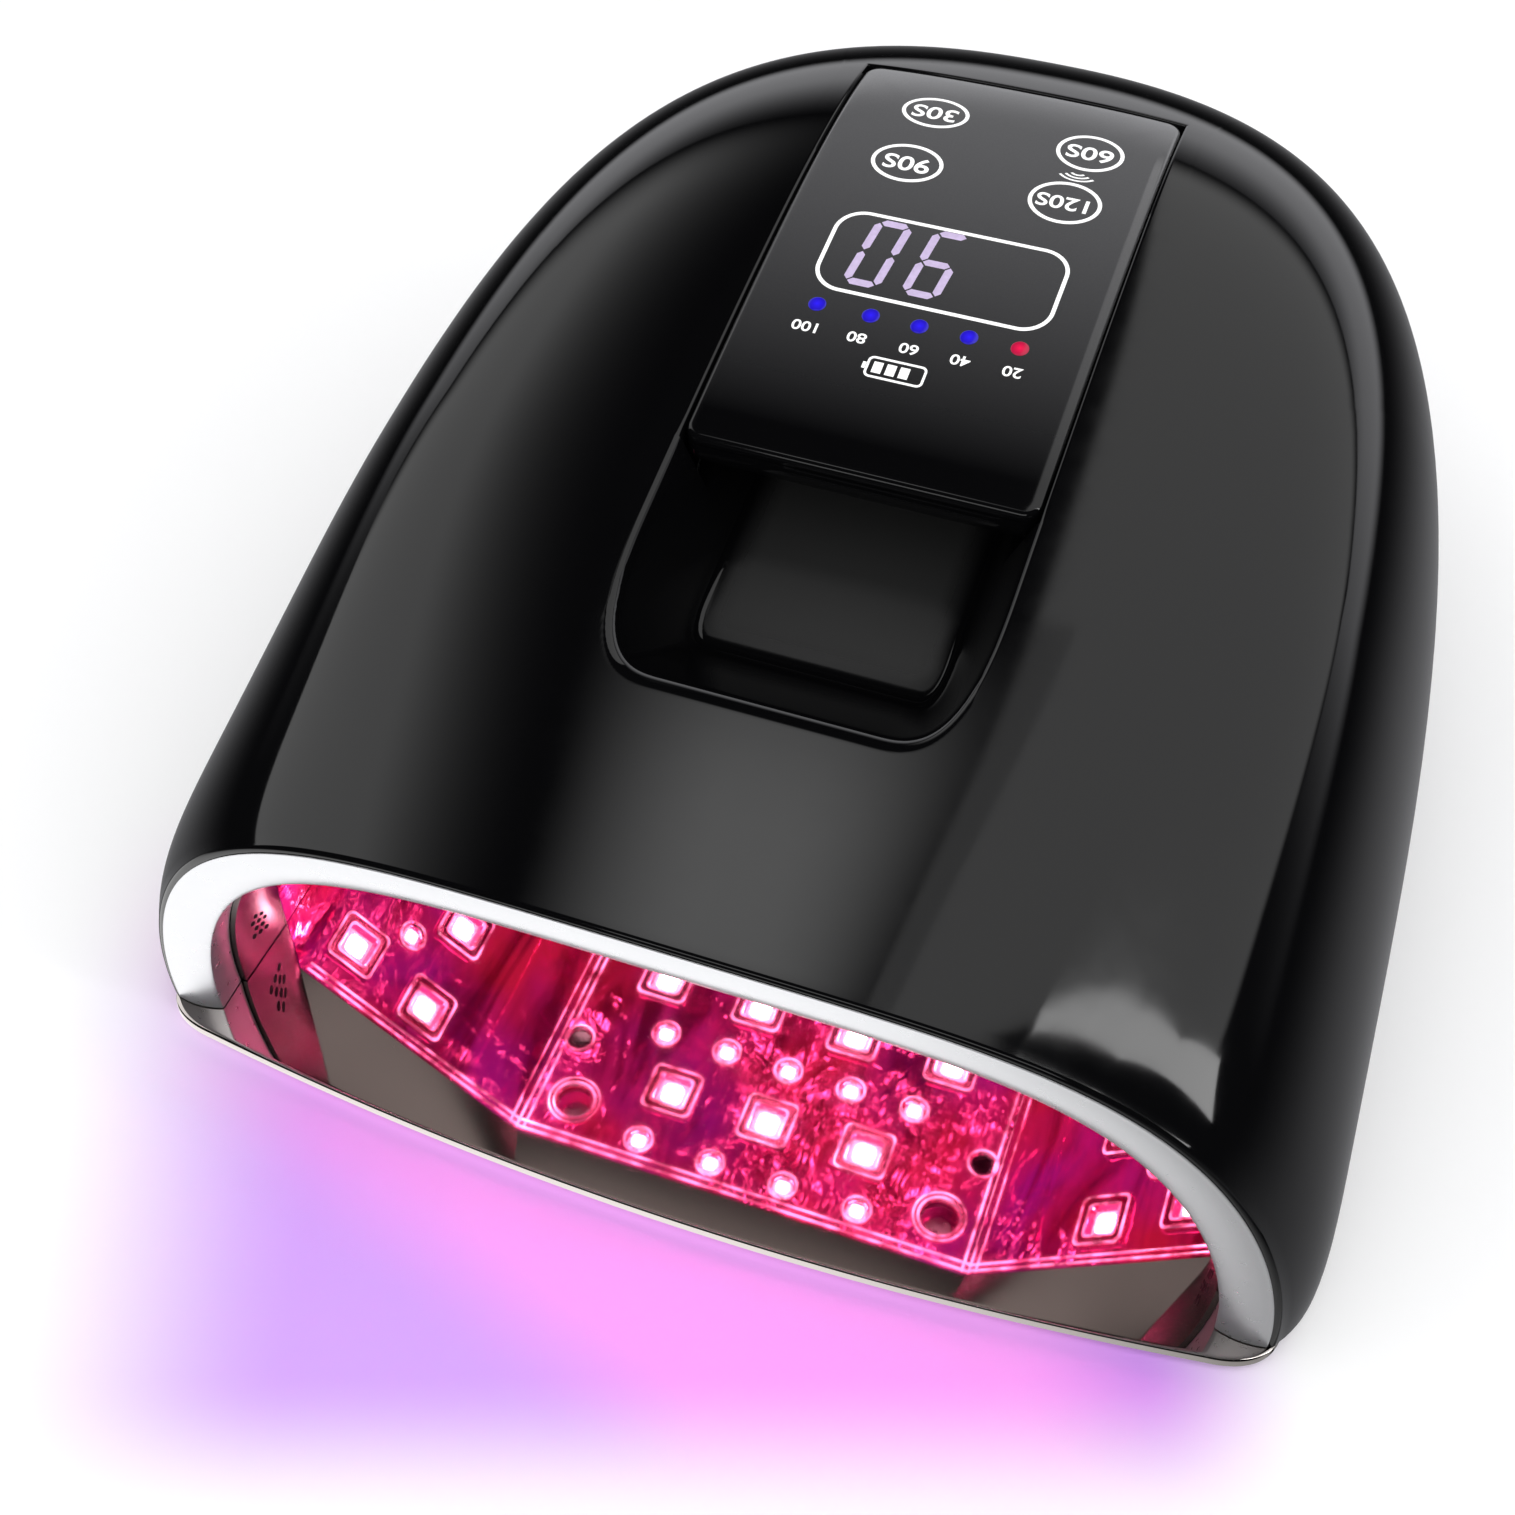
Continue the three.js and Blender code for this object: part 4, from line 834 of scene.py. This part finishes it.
# ---- Charge gauge ----
# Five clear light pipes whose domed ends stand a tenth of a millimetre proud of the lens: four
# blue, the last red, each brightest in its middle.
GAUGE = ((-18.4, "2a1cf0"), (-8.5, "2a1cf0"), (0.4, "2a1cf0"), (9.4, "2a1cf0"), (18.5, "f01846"))
GAUGE_Y, GAUGE_RADIUS, GAUGE_DOME, GAUGE_FOOT = 2.3, 1.6, 0.12, 0.3
for k, (x, code) in enumerate(GAUGE):
    pipe_paint, tree, shader = material(f"lit_light_pipe_{k + 1}", Base_Color=linear("120a28"), Roughness=0.15,
                                        Emission_Color=linear(code), Emission_Strength=0.8)
    spot = wire(tree, "ShaderNodeTexCoord").outputs["Object"]
    centre = (x / 1000, (GAUGE_Y - SHIFT_Y) / 1000)
    placed = wire(tree, "ShaderNodeMapping", {"Vector": spot, "Location": (-centre[0], -centre[1], 0),
                                              "Scale": (1, 1, 0)})
    away = wire(tree, "ShaderNodeVectorMath", {0: placed.outputs[0]}, operation="LENGTH")
    fade = wire(tree, "ShaderNodeMapRange", {"Value": away.outputs["Value"], "From Max": 0.0017,
                                             "To Min": 1.15, "To Max": 0.45})
    tree.links.new(fade.outputs[0], shader.inputs["Emission Strength"])
    rise = np.linspace(0, 1, 9)[:, None]
    around = np.linspace(0, 2 * math.pi, 33)
    radius = GAUGE_RADIUS * np.sin(rise * math.pi / 2)
    flat = np.stack([x + radius * np.cos(around), GAUGE_Y + radius * np.sin(around)], -1)
    dome = on_roof(flat, SUNK)
    dome[..., 2] += GAUGE_DOME * np.cos(rise * math.pi / 2)
    foot = np.broadcast_to(dome[0, 0] - (0, 0, GAUGE_FOOT), dome[:1].shape)
    skin(f"light_pipe_{k + 1}", [np.concatenate([dome, foot])], pipe_paint)

# ---- Lit interior ----
# Vacuum-metallised liner, LED packages on white boards seen through its framed apertures, dark
# sensor windows and screws in deep wells. The LEDs shine red-violet; the liner's crimson colour and
# clouded glow, the boards' pink glow and the frames' pink tint are painted light from them.
# Painted light: the crimson base colour and the clouded red-violet emission stand for the LEDs' light on the
# liner.
liner_metal_painted_glow, tree, shader = material("vacuum_metallised_liner_painted_glow", Base_Color=linear("c04a86"), Metallic=1.0,
                                     Roughness=0.09, Emission_Color=linear("c01a5c"), Emission_Strength=0.6)
spot = wire(tree, "ShaderNodeTexCoord").outputs["Object"]
wavy = wire(tree, "ShaderNodeTexNoise", {"Vector": spot, "Scale": 75.0, "Detail": 1.5, "Distortion": 1.4})
ripple = wire(tree, "ShaderNodeBump", {"Height": wavy.outputs[0], "Strength": 0.35, "Distance": 0.0016})
pulled = wire(tree, "ShaderNodeMapping", {"Vector": spot, "Scale": (1.0, 0.25, 1.0)})
lines = wire(tree, "ShaderNodeTexNoise", {"Vector": pulled.outputs[0], "Scale": 520.0, "Detail": 2.0})
fine = wire(tree, "ShaderNodeBump", {"Height": lines.outputs[0], "Strength": 0.35, "Distance": 0.0002,
                                     "Normal": ripple.outputs[0]})
tree.links.new(fine.outputs[0], shader.inputs["Normal"])
painted_glow_cloud = wire(tree, "ShaderNodeTexNoise", {"Vector": pulled.outputs[0], "Scale": 95.0, "Detail": 5.0,
                                          "Distortion": 1.2})
level = wire(tree, "ShaderNodeMapRange", {"Value": painted_glow_cloud.outputs[0], "From Min": 0.36, "From Max": 0.66,
                                          "To Min": 0.16, "To Max": 1.0}, interpolation_type="SMOOTHSTEP")
tree.links.new(level.outputs[0], shader.inputs["Emission Strength"])
drift = wire(tree, "ShaderNodeTexNoise", {"Vector": spot, "Scale": 32.0, "Detail": 2.0})
warmth = wire(tree, "ShaderNodeMapRange", {"Value": drift.outputs[0], "From Min": 0.36, "From Max": 0.64})
hue = wire(tree, "ShaderNodeMix", {0: warmth.outputs[0], 6: linear("a01484"), 7: linear("cc1c44")},
           data_type="RGBA")
tree.links.new(hue.outputs[2], shader.inputs["Emission Color"])

hood_metal, tree, shader = material("metallised_hood", Base_Color=linear("7c7270"), Metallic=1.0,
                                    Roughness=0.24)
uneven(tree, shader, "Roughness", 35.0, 0.18, 0.32, 4.0)

HOOD_SIZE, LIP_Y, LINER, CAVITY_HALF, TURN = (91.6, 61.6), -92.3, 1.5, 91.0, 0.72
CEILING, RIDGE_X, FACET_SLOPE, LED_LIFT = 55.0, 48.0, math.radians(40.5), 0.4


def hood(u, w, offset):
    """Hood point: u from -1 to 1 round the arch, w from 0 at the arch to 1 at the ceiling's lip.

    The lip runs along the flat ceiling and down the facet, and from u = TURN down the wall; w
    blends straight between the two lines.
    """
    start = arch(u, HOOD_SIZE[0] + offset, HOOD_SIZE[1] + offset, TRIM_DEPTH + 0.3)
    q, half = np.abs(u), CAVITY_HALF + offset
    x = np.sign(u) * np.minimum(half, half * q / TURN)
    slope = CEILING - np.clip(np.abs(x) - RIDGE_X, 0, None) * math.tan(FACET_SLOPE) + offset
    z = np.where(q < TURN, slope, slope + (SEAT - slope) * (q - TURN) / 0.28)
    stop = np.stack([x, np.full_like(x, LIP_Y - 0.3), z], -1)
    return start + (stop - start) * np.asarray(w)[..., None]


corner_u = np.array([TURN, TURN * RIDGE_X / CAVITY_HALF])
hood_u = np.unique(np.concatenate([np.linspace(-1, 1, 241), -corner_u, corner_u]))
inner_hood = [hood(hood_u, np.full_like(hood_u, w), 0.0) for w in np.linspace(0, 1, 9)]
outer_hood = [hood(hood_u, np.full_like(hood_u, w), LINER) for w in np.linspace(1, 0, 3)]
hood_ring = np.stack(inner_hood + outer_hood + inner_hood[:1])
hood_piece = skin("entrance_hood_skin", [hood_ring, *end_caps(hood_ring)], hood_metal,
                  sharp=30)
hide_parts("entrance_hood")

# Two clusters of vent holes near each foot of the hood, shown as cups let into it whose black is
# painted shade, the dark inside the holes.
dark_hole, tree, shader = material("vent_hole_shadow", Base_Color=linear("050405"), Roughness=0.7)
uneven(tree, shader, "Roughness", 500.0, 0.6, 0.9)
VENT_START, VENT_STEP, VENT_SIZE = (0.885, 0.36), (0.017, 0.13), (0.00605, 0.045)
vents = []
around = np.linspace(0, 2 * math.pi, 17)
rise = np.linspace(0, 1, 4)[:, None]
for side in (-1, 1):
    for row in range(4):
        for column in range(3 if row % 2 else 2):
            u = side * (VENT_START[0] + VENT_STEP[0] * row) + VENT_SIZE[0] * rise * np.cos(around)
            w = VENT_START[1] + VENT_STEP[1] * (column + (0.0 if row % 2 else 0.5))
            w = w + VENT_SIZE[1] * rise * np.sin(around)
            cup = hood(u, w, -0.03)
            vents.append(np.concatenate([cup, np.broadcast_to(hood(u[:1, :1], w[:1, :1], 0.5), cup[:1].shape)]))
skin("hood_vents", vents, dark_hole)

# Painted light: the boards' pink emission stands for the LEDs' light on the white solder mask.
board_white_painted_glow, tree, shader = material("white_solder_mask_painted_glow", Base_Color=linear("f4e6ea"), Roughness=0.5,
                                     Emission_Color=linear("ff7fa8"), Emission_Strength=2.5)
uneven(tree, shader, "Emission Strength", 700.0, 1.8, 3.2)

BIG_ROWS = (((-21, 0, 21), -73.5), ((-32.2, -10.7, 10.7, 32.2), -47.5), ((-21, 0, 21), -21.5),
            ((-32.2, -10.7, 10.7, 32.2), 4.5), ((-21, 0, 21), 30.5))
SMALL_ROWS = (((-23.5, -7.8, 7.8, 23.5), -86.3), ((-27.6, -13.8, 0, 13.8, 27.6), -60.4),
              ((-23.5, -7.8, 7.8, 23.5), -34.4), ((-27.6, -13.8, 0, 13.8, 27.6), -8.4))
FACET_BIG = ((30, -83), (49, -81), (31, -62.5), (49, -58), (30, -40), (48, -34), (30, -16))
FACET_SMALL = ((40, -71.5), (40, -49), (39, -26))
chip_paint, tree, shader = material("lit_led_chip", Base_Color=linear("ffffff"), Roughness=0.3,
                                    Emission_Color=linear("ffb4d0"), Emission_Strength=45.0)
cells = wire(tree, "ShaderNodeTexVoronoi", {"Vector": wire(tree, "ShaderNodeTexCoord").outputs["Object"],
                                            "Scale": 900.0})
level = wire(tree, "ShaderNodeMapRange", {"Value": cells.outputs[0], "To Min": 62.0, "To Max": 36.0})
tree.links.new(level.outputs[0], shader.inputs["Emission Strength"])


def chip(size):
    """A rounded square facing down, as rings: x, y and its drop below the package."""
    loop = rounded(size / 2, -size / 2, size / 2, size * 0.22, 5, 4)
    return np.stack([np.concatenate([loop * k, np.full((len(loop), 1), z)], 1)
                     for k, z in ((0, -0.12), (0.9, -0.12), (1, 0), (0, 0))])


def hung(shape, side, across, y):
    """A shape modelled facing down at the origin, moved to the ceiling (side 0) or turned onto a facet."""
    if side == 0:
        return shape + (across, y, CEILING)
    c, s = math.cos(FACET_SLOPE), math.sin(FACET_SLOPE)
    turned = np.stack([shape[..., 0] * c + side * shape[..., 2] * s, shape[..., 1],
                       -side * shape[..., 0] * s + shape[..., 2] * c], -1)
    return turned + (side * (RIDGE_X + across * c), y, CEILING - across * s)


def everywhere(rows, facet):
    """Every place of a kind of LED, as (side, across or down the slope, y)."""
    on_ceiling = [(0, x, y) for xs, y in rows for x in xs]
    return on_ceiling + [(side, down, y) for down, y in facet for side in (-1, 1)]


BIG_CHIP, SMALL_CHIP = 4.0, 2.2
WELLS = ((-39.5, -82.2), (39.5, -82.2), (-39.5, 54.0), (39.5, 54.0))
SENSORS = ((-44.4, -67.7), (44.4, -67.7))
WELL_RING, SENSOR_RING = (1.72, 1.72, 1.5), (1.05, 1.05, 1.0)  # of the small LED's ring
chips = []
frames = []
FRAME_PROFILE = ((5.45, 0.0), (5.45, 0.62), (5.3, 0.93), (5.0, 1.06), (3.75, 1.06), (3.45, 0.93),
                 (3.3, 0.6), (3.3, -1.4), (5.45, 0.0))
RING_PROFILE = ((3.3, -0.02), (3.15, 0.3), (2.9, 0.42), (2.6, 0.3), (2.15, -0.1), (2.1, -1.4), (3.3, -0.02))
square = []
for r, z in FRAME_PROFILE:
    loop = rounded(r, -r, r, r * 0.26, 6, 5)
    square.append(np.concatenate([loop, np.full((len(loop), 1), -z)], 1))
square = np.stack(square)
turns = np.linspace(0, 2 * math.pi, 33)
circle = np.stack([np.stack([r * np.cos(turns), r * np.sin(turns), np.full_like(turns, -z)], -1)
                   for r, z in RING_PROFILE])
for place in everywhere(BIG_ROWS, FACET_BIG):
    chips.append(hung(chip(BIG_CHIP) + (0, 0, LED_LIFT), *place))
    frames.append(hung(square, *place))
for place in everywhere(SMALL_ROWS, FACET_SMALL):
    chips.append(hung(chip(SMALL_CHIP) + (0, 0, LED_LIFT), *place))
    frames.append(hung(circle, *place))
for x, y in WELLS:
    frames.append(hung(circle * WELL_RING, 0, x, y))
for x, y in SENSORS:
    frames.append(hung(circle * SENSOR_RING, 0, x, y))
# Painted light: the frames' pink base colour stands for the LEDs' light on their metallising.
frame_metal, tree, shader = material("polished_metallised_frame_painted_tint", Base_Color=linear("ee86b4"), Metallic=1.0,
                                     Roughness=0.12)
uneven(tree, shader, "Roughness", 300.0, 0.06, 0.2)

# Polished edges of the frames, wells and ridges, as thin beads that glow: painted highlights for the
# crisp lines where the edges catch the LEDs.
BEAD = 0.27
swing = np.linspace(0, 2 * math.pi, 7)


def bead_loop(shape, radius, drop):
    """A thin round bead along a square (shape 0) or circle (shape 1) of the radius, hung drop below."""
    rows = []
    for a in swing:
        r = radius + BEAD * math.cos(a)
        loop = np.stack([r * np.cos(turns), r * np.sin(turns)], -1)
        if shape == 0:
            loop = rounded(r, -r, r, r * 0.26, 6, 5)
        rows.append(np.concatenate([loop, np.full((len(loop), 1), -drop - BEAD * math.sin(a))], 1))
    return np.stack(rows)


def straight_bead(start, stop):
    """A thin bead from start to stop: rings about the line, shrunk to nothing at its ends."""
    start, stop = np.array(start, float), np.array(stop, float)
    way = (stop - start) / np.linalg.norm(stop - start)
    side = np.cross(way, (0.3, 0.2, 1.0))
    side = side / np.linalg.norm(side)
    across = BEAD * (np.cos(swing)[:, None] * side + np.sin(swing)[:, None] * np.cross(way, side))
    return np.stack([start + 0 * across, start + across, stop + across, stop + 0 * across])


beads = []
for place in everywhere(BIG_ROWS, FACET_BIG):
    beads += [hung(bead_loop(0, r, 1.0), *place) for r in (3.5, 5.2)]
for place in everywhere(SMALL_ROWS, FACET_SMALL):
    beads.append(hung(bead_loop(1, 2.9, 0.45), *place))
for x, y in WELLS:
    beads += [hung(bead_loop(1, r, 0.5), 0, x, y) for r in (4.3, 5.3)]
for x, y in SENSORS:
    beads.append(hung(bead_loop(1, 3.0, 0.4), 0, x, y))
low_x, low_z = CAVITY_HALF - 1.0, CEILING - (CAVITY_HALF - 1.0 - RIDGE_X) * math.tan(FACET_SLOPE)
for side in (-1, 1):
    for gap in (-1.1, 0.3, 1.6):
        x, z = side * (RIDGE_X + gap), CEILING - 0.1 - max(gap, 0) * math.tan(FACET_SLOPE)
        beads.append(straight_bead((x, -92.0, z), (x, 80.0, z)))
    beads += [straight_bead((side * RIDGE_X, y, CEILING - 0.15), (side * low_x, y, low_z - 0.15))
              for y in (-91.6, -90.2)]
beads += [straight_bead((-RIDGE_X, y, CEILING - 0.1), (RIDGE_X, y, CEILING - 0.1)) for y in (-91.6, -90.0)]
# Painted highlight: the beads' emission, broken by noise, gives the glints of the polished edges.
edge_painted_highlight, tree, shader = material("polished_edge_painted_highlight", Base_Color=linear("ffb0d0"), Metallic=1.0, Roughness=0.1,
                                  Emission_Color=linear("ff6ea4"), Emission_Strength=1.0)
broken = wire(tree, "ShaderNodeTexNoise", {"Vector": wire(tree, "ShaderNodeTexCoord").outputs["Object"],
                                           "Scale": 190.0, "Detail": 2.0})
level = wire(tree, "ShaderNodeMapRange", {"Value": broken.outputs[0], "From Min": 0.4, "From Max": 0.65,
                                          "To Min": 0.6, "To Max": 7.0})
tree.links.new(level.outputs[0], shader.inputs["Emission Strength"])
skin("polished_edges_painted_highlight", beads, edge_painted_highlight)
skin("led_chips", chips, chip_paint)
skin("led_frames", frames, frame_metal, sharp=80)

# ---- Small hardware and what the covers hide ----
# Zinc plated screws, nickel plated magnets, rubber pads, the green boards, the cells in their
# shrink sleeves, the matt mouldings and the dark infra-red windows.
FINISHES = {  # colour, metallic, roughness, grain size in mm, and how far the grain changes roughness
    "zinc_plated_steel": ("b9babb", 1.0, 0.3, 0.6, 0.12),
    "nickel_plated_magnet": ("c3c1bb", 1.0, 0.2, 0.8, 0.08),
    "moulded_rubber": ("141414", 0.0, 0.8, 0.25, 0.15),
    "green_solder_mask": ("1c5a38", 0.0, 0.35, 0.5, 0.1),
    "blue_shrink_sleeve": ("1f4f96", 0.0, 0.35, 2.0, 0.1),
    "infra_red_window": ("12060a", 0.0, 0.08, 1.0, 0.03),
    "matt_ABS_inside": ("131315", 0.0, 0.5, 0.2, 0.12),
    "satin_black_nylon": ("101012", 0.0, 0.38, 0.3, 0.1),
}
made_finishes = {}
for name, (code, metal, rough, grain_size, vary) in FINISHES.items():
    paint, tree, shader = material(name, Base_Color=linear(code), Metallic=metal, Roughness=rough)
    spot = wire(tree, "ShaderNodeTexCoord").outputs["Object"]
    grain = wire(tree, "ShaderNodeTexNoise", {"Vector": spot, "Scale": 1000 / grain_size / 4, "Detail": 3.0})
    level = wire(tree, "ShaderNodeMapRange", {"Value": grain.outputs[0], "To Min": rough - vary,
                                              "To Max": rough + vary})
    tree.links.new(level.outputs[0], shader.inputs["Roughness"])
    raised = wire(tree, "ShaderNodeBump", {"Height": grain.outputs[0], "Strength": 0.15,
                                           "Distance": grain_size / 4000})
    tree.links.new(raised.outputs[0], shader.inputs["Normal"])
    made_finishes[name] = paint
made_finishes |= {"liner": liner_metal_painted_glow, "hood": hood_metal, "board": board_white_painted_glow, "gloss": gloss_black}
COATS = (("reflector", "liner"), ("entrance_hood", "hood"), ("led_board", "board"),
         ("sensor", "infra_red_window"), ("foot", "moulded_rubber"), ("magnet", "nickel_plated_magnet"),
         ("chassis_screw", "zinc_plated_steel"), ("liner_screw", "zinc_plated_steel"),
         ("touch_spring", "zinc_plated_steel"),
         ("touch_board", "green_solder_mask"), ("main_board", "green_solder_mask"),
         ("battery_cell", "blue_shrink_sleeve"), ("battery_light", "infra_red_window"),
         ("power_rocker", "gloss"), ("power_switch", "satin_black_nylon"), ("dc_inlet", "satin_black_nylon"),
         ("", "matt_ABS_inside"))
for name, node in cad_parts.items():
    coat = made_finishes[next(finish for start, finish in COATS if name.startswith(start))]
    for slot in node.material_slots:
        slot.material = coat
